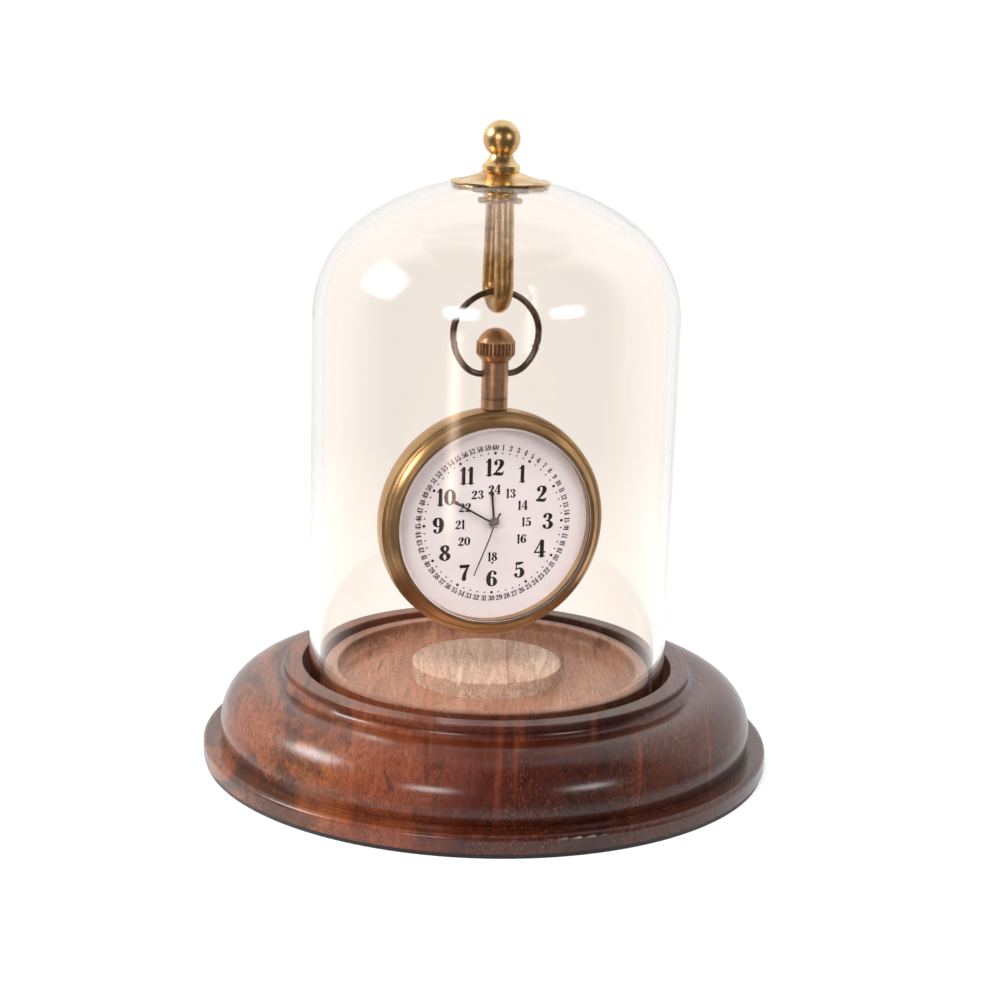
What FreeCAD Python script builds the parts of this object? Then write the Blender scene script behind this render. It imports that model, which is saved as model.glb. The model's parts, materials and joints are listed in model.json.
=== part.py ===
import FreeCAD, Part
import math
import os

import Sketcher

os.makedirs("parts", exist_ok=True)

# Pocket watch hanging from an eye inside a glass dome, on a turned wooden base.
# Lengths are millimetres and angles are degrees. The origin is the centre of the base on the table,
# +Z is up and the viewer stands at -Y.

# Driving sizes, in the order in which the object is stacked

LENGTHS = {
    # Turned base and its pad
    "base_radius": 60.5,
    "felt_thickness": 0.8,
    "felt_inset": 0.4,
    "flange_height": 3.8,
    "flange_round": 1.0,
    "fillet_width": 0.9,
    "fillet_height": 0.35,
    "moulding_rise": 2.97,
    "cove_radius": 1.6,
    "rim_lip": 1.35,
    "rim_quirk": 0.25,
    "rim_width": 3.9,
    "edge_round": 0.3,
    "groove_depth": 6.0,
    "sunk_depth": 3.2,
    "inner_ring_drop": 0.2,
    "inner_ring_width": 2.9,
    "disc_radius": 16.0,
    "disc_height": 3.4,
    "disc_edge": 0.15,
    # Glass dome
    "dome_radius": 38.1,
    "glass_wall": 2.2,
    "dome_outer_play": 1.4,
    "dome_inner_play": 1.0,
    "dome_corner_radius": 24.0,
    "dome_crown_radius": 48.0,
    "dome_hole_radius": 3.0,
    "glass_bevel": 0.3,
    "watch_clearance": 6.5,
    # Fittings in the dome's hole
    "seat_play": 0.02,
    "stud_radius": 1.9,
    "stud_play": 0.05,
    "stud_reach": 3.2,
    "grommet_flange_radius": 5.8,
    "grommet_flange_thickness": 0.8,
    "washer_radius": 5.0,
    "washer_thickness": 0.3,
    "nut_across": 6.2,
    "nut_thickness": 1.0,
    "cap_radius": 10.3,
    "cap_gap": 0.1,
    "cap_edge": 0.27,
    "cap_hub_radius": 3.8,
    "cap_web": 0.9,
    "cap_flare_radius": 18.0,
    # Finial knob
    "collar_radius": 3.9,
    "collar_height": 1.45,
    "cone_height": 2.0,
    "cone_flare_radius": 4.0,
    "neck_radius": 2.3,
    "ball_radius": 3.8,
    "ball_rise": 6.65,
    "knob_edge": 0.2,
    # Hanging eye
    "eye_flange_radius": 4.6,
    "eye_flange_thickness": 1.2,
    "eye_flange_edge": 0.3,
    "eye_wire_radius": 1.95,
    "eye_bend_radius": 4.5,
    "eye_drop": 22.39,
    "braze_depth": 0.3,
    # Bow
    "bow_play": 0.1,
    "bow_wire_radius": 0.675,
    "bow_radius": 9.2,
    "bow_corner_radius": 5.0,
    "bow_height": 17.27,
    "bow_pin_inner": 1.75,
    "bow_hole_play": 0.05,
    # Pendant tube
    "pin_above_case": 7.3,
    "pendant_radius": 2.8,
    "pendant_bore": 1.5,
    "pendant_above_pin": 2.7,
    "pendant_line_rise": 2.0,
    "pendant_line_width": 0.3,
    "pendant_line_depth": 0.15,
    "spigot_radius": 1.68,
    "spigot_play": 0.04,
    "spigot_depth": 2.2,
    "spigot_floor": 0.8,
    "stem_bore": 0.75,
    "cope_play": 0.03,
    # Crown, its seal and the winding stem
    "crown_gap": 0.1,
    "crown_radius": 4.05,
    "crown_foot_radius": 2.95,
    "crown_skirt_height": 1.4,
    "crown_flute_height": 2.5,
    "crown_dome_height": 2.8,
    "flute_radius": 0.24,
    "crown_neck_radius": 1.35,
    "crown_neck_length": 6.0,
    "seal_groove_radius": 1.0,
    "seal_height": 0.6,
    "seal_rise": 0.9,
    "seal_play": 0.03,
    "stem_radius": 0.55,
    "stem_in_crown": 3.0,
    "stem_end": 11.5,
    "stem_notch_rise": 1.4,
    "stem_notch_width": 0.8,
    "stem_notch_radius": 0.35,
    # Watch case
    "case_radius": 24.4,
    "case_edge_drop": 0.25,
    "band_half_width": 2.2,
    "case_wall": 3.0,
    "bezel_lip": 0.25,
    "bezel_step_inset": 1.15,
    "bezel_step_height": 0.95,
    "bezel_step_line": 0.15,
    "bezel_first_bulge": 2.2,
    "bezel_ring_inset": 2.75,
    "bezel_main_bulge": 4.5,
    "bezel_height": 2.76,
    "bezel_bore_inset": 3.3,
    "bezel_bore_depth": 1.1,
    "bezel_window_inset": 3.7,
    "bezel_skirt_play": 0.05,
    "gasket_thickness": 0.2,
    "crystal_play": 0.04,
    "crystal_edge": 0.7,
    "crystal_bevel": 0.4,
    "crystal_rise": 1.1,
    "crystal_wall": 1.0,
    "back_inset": 0.15,
    "back_lip": 0.6,
    "back_bulge": 2.1,
    "back_wall": 0.6,
    "back_spigot_width": 0.9,
    "back_spigot_height": 0.18,
    # Dial and what centres it, with heights counted from the middle of the band towards the viewer
    "dial_height": 1.7,
    "dial_thickness": 0.4,
    "dial_play": 0.2,
    "dial_hole": 1.0,
    "ring_play": 0.1,
    "ring_bore": 13.6,
    "ring_back": 2.0,
    # Movement plates
    "plate_play": 0.05,
    "plate_front": 0.1,
    "plate_thickness": 1.0,
    "plate_rim": 0.95,
    "train_depth": 2.2,
    "bridge_thickness": 0.8,
    "bridge_radius": 8.4,
    "pillar_radius": 0.9,
    "screw_radius": 0.35,
    "screw_head_radius": 0.65,
    "screw_head_height": 0.4,
    "screw_reach": 0.6,
    "screw_play": 0.02,
    "slot_width": 0.2,
    "slot_depth": 0.15,
    # Power and pulse
    "battery_radius": 3.4,
    "battery_thickness": 2.0,
    "battery_place": 9.3,
    "battery_play": 0.5,
    "clamp_width": 1.8,
    "clamp_thickness": 0.2,
    "clamp_leg": 0.35,
    "clamp_gap": 0.1,
    "coil_radius": 1.2,
    "coil_length": 9.0,
    "coil_drop": 9.8,
    "core_width": 0.9,
    "core_length": 12.8,
    "core_play": 0.03,
    "stator_thickness": 0.45,
    "stator_head_radius": 2.4,
    "stator_bore": 1.55,
    "stator_bar": 1.25,
    "circuit_inner": 8.0,
    "circuit_outer": 13.0,
    "circuit_thickness": 0.4,
    "quartz_radius": 0.75,
    "quartz_length": 5.5,
    "quartz_place": 10.4,
    # Going train
    "arbor_radius": 0.25,
    "pivot_radius": 0.15,
    "pivot_play": 0.05,
    "pivot_length": 0.5,
    "shake": 0.08,
    "wheel_thickness": 0.2,
    "wheel_gap": 0.2,
    "layer_pitch": 0.5,
    "leaf_overlap": 0.1,
    "seconds_module": 0.21,
    "rotor_module": 0.11,
    "third_module": 0.12,
    "motion_module": 0.15,
    "rotor_radius": 1.3,
    "rotor_thickness": 0.6,
    "cannon_radius": 0.5,
    "hour_pipe_radius": 0.85,
    "pipe_play": 0.05,
    "motion_gap": 0.15,
    "motion_step": 0.6,
    "post_radius": 0.2,
    # Hands
    "hand_thickness": 0.18,
    "hand_rise": 0.3,
    "hand_step": 0.55,
    "hour_hub_radius": 1.15,
    "minute_hub_radius": 1.05,
    "second_hub_radius": 0.7,
    "hour_hand_length": 7.3,
    "hour_hand_width": 0.9,
    "minute_hand_length": 11.0,
    "minute_hand_width": 0.85,
    "hand_stem_width": 0.4,
    "second_hand_length": 11.7,
    "second_hand_width": 0.26,
    "second_tip_width": 0.2,
    "second_tail_length": 2.7,
    "second_tail_width": 0.4,
    "second_cap_height": 0.3,
    # One overrun serves every cut
    "overrun": 1.0,
}

# Angles in degrees. Those of the movement are counted from the viewer's right, anticlockwise

ANGLES = {
    "watch_yaw": 17.0,
    "eye_lean": 4.4,
    "battery_angle": 135.0,
    "circuit_start": -14.0,
    "circuit_end": 70.0,
    "quartz_angle": 24.0,
    "third_angle": 200.0,
    "intermediate_angle": 320.0,
    "motion_angle": 60.0,
}

# The moulding's radius and the flange's step are shares of the base's width outside the dome's rim

MOULDING_SHARE = 0.575
FLANGE_STEP_SHARE = 0.215

# Time shown at rest

TIME = {
    "shown_hours": 11,
    "shown_minutes": 49.5,
    "shown_seconds": 33.7,
}

# Flutes, teeth and leaves, which are counts

FLUTES = 30

SECOND_TEETH = 32
INTERMEDIATE_TEETH = 60
THIRD_TEETH = 60
CENTRE_TEETH = 64
MINUTE_TEETH = 36
HOUR_TEETH = 40
TRAIN_LEAVES = 8
CANNON_LEAVES = 12
MINUTE_LEAVES = 10

# A tooth's reach as shares of its module, then its half widths as shares of the circular pitch,
# on the root circle, the pitch circle and the tip circle

WHEEL_TOOTH_SHARES = {"tip": 0.75, "root": 1.2, "half_widths": (0.23, 0.21, 0.10)}
LEAF_SHARES = {"tip": 0.6, "root": 1.3, "half_widths": (0.15, 0.17, 0.09)}

# A hand's blade leaves its stem, is widest and starts its point at these shares of its length

BLADE_SHARES = (0.8, 0.9)

# Pillars of the train bridge: distance from the hub as a share of the bridge's radius, and angle

PILLAR_SHARES = ((0.83, 75.0), (0.795, 251.0), (0.786, 20.0))

FULL_TURN = 360
QUARTER_TURN = 90
HOURS_ROUND = 12
MINUTES_ROUND = 60


class Size:
    """A number of the sheet, or a sum worked out from such numbers, with the same sum in the sheet's words."""

    def __init__(self, value, words):
        self.value = float(value)
        self.words = words

    def __add__(self, other):
        other = as_size(other)
        return Size(self.value + other.value, "(%s + %s)" % (self.words, other.words))

    def __radd__(self, other):
        return as_size(other) + self

    def __sub__(self, other):
        other = as_size(other)
        return Size(self.value - other.value, "(%s - %s)" % (self.words, other.words))

    def __rsub__(self, other):
        return as_size(other) - self

    def __mul__(self, other):
        other = as_size(other)
        return Size(self.value * other.value, "(%s * %s)" % (self.words, other.words))

    def __rmul__(self, other):
        return as_size(other) * self

    def __truediv__(self, other):
        other = as_size(other)
        return Size(self.value / other.value, "(%s / %s)" % (self.words, other.words))

    def __neg__(self):
        return Size(-self.value, "(-1 * %s)" % self.words)


def as_size(number):
    return number if isinstance(number, Size) else Size(number, "(%r)" % number)


def root(size):
    return Size(math.sqrt(size.value), "sqrt(%s)" % size.words)


def sine(angle):
    return Size(math.sin(math.radians(angle.value)), "sin(%s * 1 deg)" % angle.words)


def cosine(angle):
    return Size(math.cos(math.radians(angle.value)), "cos(%s * 1 deg)" % angle.words)


def beside(radius, leg):
    """The other leg of a right triangle with this hypotenuse."""
    return root(radius * radius - leg * leg)


def bulge(half_chord, rise):
    """Radius of the arc that rises this far over this half chord."""
    return (half_chord * half_chord + rise * rise) / (2 * rise)


doc = FreeCAD.newDocument("dome_watch")
sheet = doc.addObject("Spreadsheet::Sheet", "Sizes")


class Names:
    """The sheet's sizes by name."""


s = Names()
for row, (name, number) in enumerate({**LENGTHS, **ANGLES, **TIME}.items(), start=1):
    sheet.set("A%d" % row, name)
    sheet.set("B%d" % row, str(number))
    sheet.setAlias("B%d" % row, name)
    setattr(s, name, Size(number, "Sizes." + name))
doc.recompute()

pieces = []
cuts = []

# Levels and radii that several pieces share, from the table up

groove_outer = s.dome_radius + s.dome_outer_play
inner_ring_radius = s.dome_radius - s.glass_wall - s.dome_inner_play
rim_radius = groove_outer + s.rim_width
flange_top = s.felt_thickness + s.flange_height
width_outside = s.base_radius - rim_radius
moulding_radius = MOULDING_SHARE * width_outside
moulding_place = s.base_radius - FLANGE_STEP_SHARE * width_outside - moulding_radius
moulding_foot = flange_top + s.fillet_height
moulding_top = moulding_foot + s.moulding_rise + moulding_radius
rim_top = moulding_top + s.cove_radius + s.rim_lip
groove_floor = rim_top - s.groove_depth
inner_ring_top = rim_top - s.inner_ring_drop
sunk_floor = inner_ring_top - s.sunk_depth
disc_top = sunk_floor + s.disc_height

# The watch clears the disc, and the dome is as tall as what hangs in it

hub_height = disc_top + s.watch_clearance + s.case_radius
pin_height = hub_height + s.case_radius + s.pin_above_case
bow_top = pin_height + s.bow_height
eye_foot = bow_top - s.bow_wire_radius - s.bow_play - 2 * s.eye_wire_radius
eye_flange_foot = eye_foot + s.eye_drop
nut_foot = eye_flange_foot + s.eye_flange_thickness
grommet_foot = nut_foot + s.nut_thickness
flange_seat = grommet_foot + s.grommet_flange_thickness

inner_crown = s.dome_crown_radius - s.glass_wall
corner_place = s.dome_radius - s.dome_corner_radius
centre_gap = s.dome_crown_radius - s.dome_corner_radius
crown_centre = flange_seat + s.seat_play - beside(inner_crown, s.grommet_flange_radius)
shoulder = crown_centre + beside(centre_gap, corner_place)


def crown_height(sphere_radius, radius):
    """Height of a sphere about the dome crown's centre, this far from the axis."""
    return crown_centre + beside(sphere_radius, radius)


bore_radius = s.stud_radius + s.stud_play
grommet_top = crown_height(s.dome_crown_radius, s.dome_hole_radius) - s.seat_play
washer_foot = grommet_top + 2 * s.seat_play
washer_top = washer_foot + s.washer_thickness
cap_top = washer_top + s.cap_web
pendant_top = pin_height + s.pendant_above_pin
crown_foot = pendant_top + s.crown_gap

band_edge = s.case_radius - s.case_edge_drop
cavity_radius = s.case_radius - s.case_wall
bezel_bore = s.case_radius - s.bezel_bore_inset
bezel_window = s.case_radius - s.bezel_window_inset
bezel_top = s.band_half_width + s.bezel_height
gasket_seat = bezel_top - s.bezel_bore_depth
crystal_foot = gasket_seat + s.gasket_thickness
dial_back = s.dial_height - s.dial_thickness
plate_back = s.plate_front - s.plate_thickness
bridge_front = plate_back - s.train_depth
bridge_back = bridge_front - s.bridge_thickness
plate_radius = s.ring_bore - s.plate_play

# Where bodies are put: everything that hangs is turned by the watch's yaw about the dome's axis,
# and what belongs to the dial stands upright about the hub, with its own Z towards the viewer

UP = FreeCAD.Vector(0, 0, 1)
yawed = FreeCAD.Rotation(UP, s.watch_yaw.value)
upright = yawed * FreeCAD.Rotation(FreeCAD.Vector(1, 0, 0), QUARTER_TURN)


def hang(piece):
    piece.Placement = FreeCAD.Placement(FreeCAD.Vector(0, 0, 0), yawed)
    piece.setExpression("Placement.Rotation.Angle", "%s * 1 deg" % s.watch_yaw.words)


def face_viewer(piece, place=(as_size(0), as_size(0))):
    """Stands a piece upright about the hub, or about a place to the right of it and above it."""
    right, above = place
    base = (right * cosine(s.watch_yaw), right * sine(s.watch_yaw), hub_height + above)
    piece.Placement = FreeCAD.Placement(FreeCAD.Vector(*[size.value for size in base]), upright)
    for axis, size in zip("xyz", base):
        piece.setExpression("Placement.Base." + axis, size.words)


def turn_in_plane(piece, angle):
    """Turns a piece about its own Z, which points to the viewer."""
    piece.Placement = piece.Placement * FreeCAD.Placement(FreeCAD.Vector(), FreeCAD.Rotation(UP, angle.value))


# Sketch and feature helpers


def new_body(label):
    body = doc.addObject("PartDesign::Body", label)
    body.Label = label
    pieces.append(body)
    return body


def origin_plane(body, role):
    return [plane for plane in body.Origin.OriginFeatures if plane.Role == role][0]


class Drawing:
    """A sketch whose points and radii all follow the sheet."""

    def __init__(self, body, role, offset=None):
        self.sketch = body.newObject("Sketcher::SketchObject", body.Label + "_drawing")
        self.sketch.AttachmentSupport = (origin_plane(body, role), "")
        self.sketch.MapMode = "FlatFace"
        if offset is not None:
            self.sketch.AttachmentOffset.Base.z = offset.value
            self.sketch.setExpression("AttachmentOffset.Base.z", offset.words)

    def tie(self, kind, size, *where):
        number = self.sketch.addConstraint(Sketcher.Constraint(kind, *where, size.value))
        self.sketch.setExpression("Constraints[%d]" % number, size.words)

    def tie_point(self, edge, end, x, y):
        for kind, axis, size in (("DistanceX", -2, x), ("DistanceY", -1, y)):
            if isinstance(size, Size):
                self.tie(kind, size, -1, 1, edge, end)
            else:
                self.sketch.addConstraint(Sketcher.Constraint("PointOnObject", edge, end, axis))

    def arc(self, start, end, radius, turn):
        """Arc under half a circle from start to end, turning left for 1 and right for -1."""
        chord = end - start
        middle = (start + end) * 0.5
        side = FreeCAD.Vector(-chord.y, chord.x, 0).normalize()
        centre = middle + side * turn * math.sqrt(max(radius ** 2 - (chord.Length / 2) ** 2, 0))
        first, last = (start, end) if turn > 0 else (end, start)
        angles = [math.atan2(point.y - centre.y, point.x - centre.x) for point in (first, last)]
        if angles[1] < angles[0]:
            angles[1] += 2 * math.pi
        circle = Part.Circle(centre, UP, radius)
        return Part.ArcOfCircle(circle, angles[0], angles[1])

    def run(self, corners, closed=True):
        """Lines and arcs through the corners. A corner with a radius and a turn is reached by an arc."""
        points = [FreeCAD.Vector(as_size(c[0]).value, as_size(c[1]).value, 0) for c in corners]
        count = len(corners)
        edges = []
        for number in range(count if closed else count - 1):
            end = (number + 1) % count
            corner = corners[end]
            if len(corner) == 4:
                shape = self.arc(points[number], points[end], corner[2].value, corner[3])
                edge = self.sketch.addGeometry(shape, False)
                self.tie("Radius", corner[2], edge)
                edges.append((edge, 1, 2) if corner[3] > 0 else (edge, 2, 1))
            else:
                edge = self.sketch.addGeometry(Part.LineSegment(points[number], points[end]), False)
                edges.append((edge, 1, 2))
        for number, (edge, start, end) in enumerate(edges):
            self.tie_point(edge, start, *corners[number][:2])
            if closed or number + 1 < len(edges):
                after, after_start = edges[(number + 1) % len(edges)][:2]
                self.sketch.addConstraint(Sketcher.Constraint("Coincident", edge, end, after, after_start))
            else:
                self.tie_point(edge, end, *corners[-1][:2])
        return self

    def circle(self, x, y, radius):
        centre = FreeCAD.Vector(as_size(x).value, as_size(y).value, 0)
        edge = self.sketch.addGeometry(Part.Circle(centre, UP, radius.value), False)
        self.tie("Radius", radius, edge)
        self.tie_point(edge, 3, x, y)
        return self

    def box(self, left, low, right, high):
        return self.run([(left, low), (right, low), (right, high), (left, high)])


def turned(body, corners):
    """Solid of revolution of an outline, given as distance from the axis and height."""
    feature = body.newObject("PartDesign::Revolution", body.Label + "_turned")
    drawing = Drawing(body, "XZ_Plane").run(corners)
    feature.Profile = drawing.sketch
    feature.ReferenceAxis = (drawing.sketch, ["V_Axis"])
    feature.Angle = FULL_TURN
    return feature


def turned_piece(label, corners, put=None):
    body = new_body(label)
    turned(body, corners)
    if put:
        put(body)
    return body


def raised(body, drawing, length, reverse=False, both=False):
    feature = body.newObject("PartDesign::Pad", body.Label + "_raised")
    feature.Profile = drawing.sketch
    feature.setExpression("Length", length.words)
    feature.Reversed = reverse
    feature.Midplane = both
    return feature


def sunk(body, drawing, length, reverse=False, both=False):
    feature = body.newObject("PartDesign::Pocket", body.Label + "_sunk")
    feature.Profile = drawing.sketch
    feature.setExpression("Length", length.words)
    feature.Reversed = reverse
    feature.Midplane = both
    cuts.append(feature)
    return feature


def bent(body, path, section):
    """Round wire along a path."""
    feature = body.newObject("PartDesign::AdditivePipe", body.Label + "_wire")
    feature.Profile = section.sketch
    doc.recompute()
    feature.Spine = (path.sketch, ["Edge%d" % (n + 1) for n in range(len(path.sketch.Shape.Edges))])
    return feature


def shaped(label, shape, *place):
    """A piece whose outline comes from a formula, standing about the hub or about a place beside it."""
    piece = doc.addObject("Part::Feature", label)
    piece.Label = label
    piece.Shape = shape
    face_viewer(piece, *place)
    pieces.append(piece)


# Base


def make_base():
    foot_radius = moulding_place + beside(moulding_radius, s.moulding_rise)
    cove_foot = rim_radius - s.rim_quirk + s.cove_radius
    lip_foot = rim_top - s.rim_lip
    ring_bore = inner_ring_radius - s.inner_ring_width
    edge = s.edge_round
    turned_piece("turned_base", [
        (0, s.felt_thickness),
        (s.base_radius - edge, s.felt_thickness),
        (s.base_radius, s.felt_thickness + edge),
        (s.base_radius, flange_top - s.flange_round),
        (s.base_radius - s.flange_round, flange_top, s.flange_round, 1),
        (foot_radius + s.fillet_width, flange_top),
        (foot_radius + s.fillet_width, moulding_foot),
        (foot_radius, moulding_foot),
        (moulding_place, moulding_top, moulding_radius, 1),
        (cove_foot, moulding_top),
        (rim_radius - s.rim_quirk, moulding_top + s.cove_radius, s.cove_radius, -1),
        (rim_radius, lip_foot),
        (rim_radius, rim_top - edge),
        (rim_radius - edge, rim_top, edge, 1),
        (groove_outer + edge, rim_top),
        (groove_outer, rim_top - edge, edge, 1),
        (groove_outer, groove_floor),
        (inner_ring_radius, groove_floor),
        (inner_ring_radius, inner_ring_top - edge),
        (inner_ring_radius - edge, inner_ring_top, edge, 1),
        (ring_bore + edge, inner_ring_top),
        (ring_bore, inner_ring_top - edge, edge, 1),
        (ring_bore, sunk_floor + s.cove_radius),
        (ring_bore - s.cove_radius, sunk_floor, s.cove_radius, -1),
        (0, sunk_floor),
    ])
    turned_piece("centre_disc", [
        (0, sunk_floor),
        (s.disc_radius, sunk_floor),
        (s.disc_radius, disc_top - s.disc_edge),
        (s.disc_radius - s.disc_edge, disc_top),
        (0, disc_top),
    ])
    felt_radius = s.base_radius - s.felt_inset
    turned_piece("felt_pad", [(0, 0), (felt_radius, 0), (felt_radius, s.felt_thickness), (0, s.felt_thickness)])


# Dome and what goes through its crown


def make_dome():
    inner_radius = s.dome_radius - s.glass_wall
    inner_corner = s.dome_corner_radius - s.glass_wall
    outward = corner_place / centre_gap
    upward = (shoulder - crown_centre) / centre_gap
    turned_piece("glass_dome", [
        (inner_radius + s.glass_bevel, groove_floor),
        (s.dome_radius - s.glass_bevel, groove_floor),
        (s.dome_radius, groove_floor + s.glass_bevel),
        (s.dome_radius, shoulder),
        (outward * s.dome_crown_radius, crown_centre + upward * s.dome_crown_radius, s.dome_corner_radius, 1),
        (s.dome_hole_radius, crown_height(s.dome_crown_radius, s.dome_hole_radius), s.dome_crown_radius, 1),
        (s.dome_hole_radius, crown_height(inner_crown, s.dome_hole_radius)),
        (outward * inner_crown, crown_centre + upward * inner_crown, inner_crown, -1),
        (inner_radius, shoulder, inner_corner, -1),
        (inner_radius, groove_floor + s.glass_bevel),
    ])
    sleeve = s.dome_hole_radius - s.seat_play
    turned_piece("dome_grommet", [
        (bore_radius, grommet_foot),
        (s.grommet_flange_radius, grommet_foot),
        (s.grommet_flange_radius, flange_seat),
        (sleeve, flange_seat),
        (sleeve, grommet_top),
        (bore_radius, grommet_top),
    ])
    turned_piece("upper_washer", [
        (bore_radius, washer_foot),
        (s.washer_radius, washer_foot),
        (s.washer_radius, washer_top),
        (bore_radius, washer_top),
    ])


def make_finial():
    under = s.dome_crown_radius + s.cap_gap
    recess = s.washer_radius + s.cap_gap
    rim = crown_height(under, s.cap_radius)
    turned_piece("cap_disc", [
        (s.stud_radius, washer_top),
        (recess, washer_top),
        (recess, crown_height(under, recess)),
        (s.cap_radius, rim, under, -1),
        (s.cap_radius, rim + s.cap_edge),
        (s.cap_hub_radius, cap_top, s.cap_flare_radius, -1),
        (s.stud_radius, cap_top),
    ], hang)
    collar_top = cap_top + s.collar_height
    cone_top = collar_top + s.cone_height
    ball_middle = cap_top + s.ball_rise
    turned_piece("finial_knob", [
        (s.stud_radius, cap_top),
        (s.collar_radius - s.knob_edge, cap_top),
        (s.collar_radius, cap_top + s.knob_edge),
        (s.collar_radius, collar_top - s.knob_edge),
        (s.collar_radius - s.knob_edge, collar_top),
        (s.neck_radius, cone_top, s.cone_flare_radius, -1),
        (s.neck_radius, ball_middle - beside(s.ball_radius, s.neck_radius)),
        (s.ball_radius, ball_middle, s.ball_radius, 1),
        (0, ball_middle + s.ball_radius, s.ball_radius, 1),
        (0, cap_top + s.stud_reach),
        (s.stud_radius, cap_top + s.stud_reach),
    ], hang)


def make_eye():
    body = new_body("hanging_eye")
    edge = s.eye_flange_edge
    turned(body, [
        (0, eye_flange_foot),
        (s.eye_flange_radius - edge, eye_flange_foot),
        (s.eye_flange_radius, eye_flange_foot + edge),
        (s.eye_flange_radius, nut_foot - edge),
        (s.eye_flange_radius - edge, nut_foot),
        (s.stud_radius, nut_foot),
        (s.stud_radius, cap_top + s.stud_reach),
        (0, cap_top + s.stud_reach),
    ])
    bend = s.eye_bend_radius
    middle = eye_foot + s.eye_wire_radius + bend
    wire_top = eye_flange_foot + s.braze_depth
    side = bend * cosine(s.eye_lean)
    side_height = middle + bend * sine(s.eye_lean)
    top_side = side - (wire_top - side_height) * sine(s.eye_lean) / cosine(s.eye_lean)
    path = Drawing(body, "YZ_Plane").run([
        (-top_side, wire_top),
        (-side, side_height),
        (0, middle - bend, bend, 1),
        (side, side_height, bend, 1),
        (top_side, wire_top),
    ], closed=False)
    section = Drawing(body, "XY_Plane", wire_top).circle(0, -top_side, s.eye_wire_radius)
    bent(body, path, section)
    hang(body)
    nut = new_body("jam_nut")
    half_across = s.nut_across / 2
    half_side = half_across / 3 ** 0.5
    outline = Drawing(nut, "XY_Plane", nut_foot).run([
        (half_across, -half_side),
        (half_across, half_side),
        (0, 2 * half_side),
        (-half_across, half_side),
        (-half_across, -half_side),
        (0, -2 * half_side),
    ])
    raised(nut, outline.circle(0, 0, s.stud_radius), s.nut_thickness)
    hang(nut)


# Bow


def make_bow():
    body = new_body("bow")
    middle = bow_top - s.bow_radius
    reach = s.bow_radius - s.bow_corner_radius
    corner = beside(reach, middle - pin_height - s.bow_corner_radius)
    touch = corner * s.bow_radius / reach
    touch_height = middle - (middle - pin_height - s.bow_corner_radius) * s.bow_radius / reach
    path = Drawing(body, "XZ_Plane").run([
        (-s.bow_pin_inner, pin_height),
        (-corner, pin_height),
        (-touch, touch_height, s.bow_corner_radius, -1),
        (0, bow_top, s.bow_radius, -1),
        (touch, touch_height, s.bow_radius, -1),
        (corner, pin_height, s.bow_corner_radius, -1),
        (s.bow_pin_inner, pin_height),
    ], closed=False)
    section = Drawing(body, "YZ_Plane", -s.bow_pin_inner).circle(0, pin_height, s.bow_wire_radius)
    bent(body, path, section)
    hang(body)


# Pendant tube, crown and stem


def make_pendant():
    body = new_body("pendant_tube")
    line_low = hub_height + s.case_radius + s.pendant_line_rise
    line_high = line_low + s.pendant_line_width
    waist = s.pendant_radius - s.pendant_line_depth
    edge = s.pendant_line_depth
    foot = hub_height + s.case_radius - s.spigot_depth
    turned(body, [
        (s.pendant_bore, foot),
        (s.pendant_radius, foot),
        (s.pendant_radius, line_low),
        (waist, line_low),
        (waist, line_high),
        (s.pendant_radius, line_high),
        (s.pendant_radius, pendant_top - edge),
        (s.pendant_radius - edge, pendant_top),
        (s.pendant_bore, pendant_top),
    ])
    case_round = Drawing(body, "XZ_Plane").circle(0, hub_height, s.case_radius + s.cope_play)
    sunk(body, case_round, 2 * (s.pendant_radius + s.overrun), both=True)
    spigot = Drawing(body, "XY_Plane", foot).circle(0, 0, s.spigot_radius).circle(0, 0, s.stem_bore)
    raised(body, spigot, s.spigot_depth + s.spigot_floor)
    pin_hole = Drawing(body, "YZ_Plane").circle(0, pin_height, s.bow_wire_radius + s.bow_hole_play)
    sunk(body, pin_hole, 2 * (s.pendant_radius + s.overrun), both=True)
    hang(body)


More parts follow.
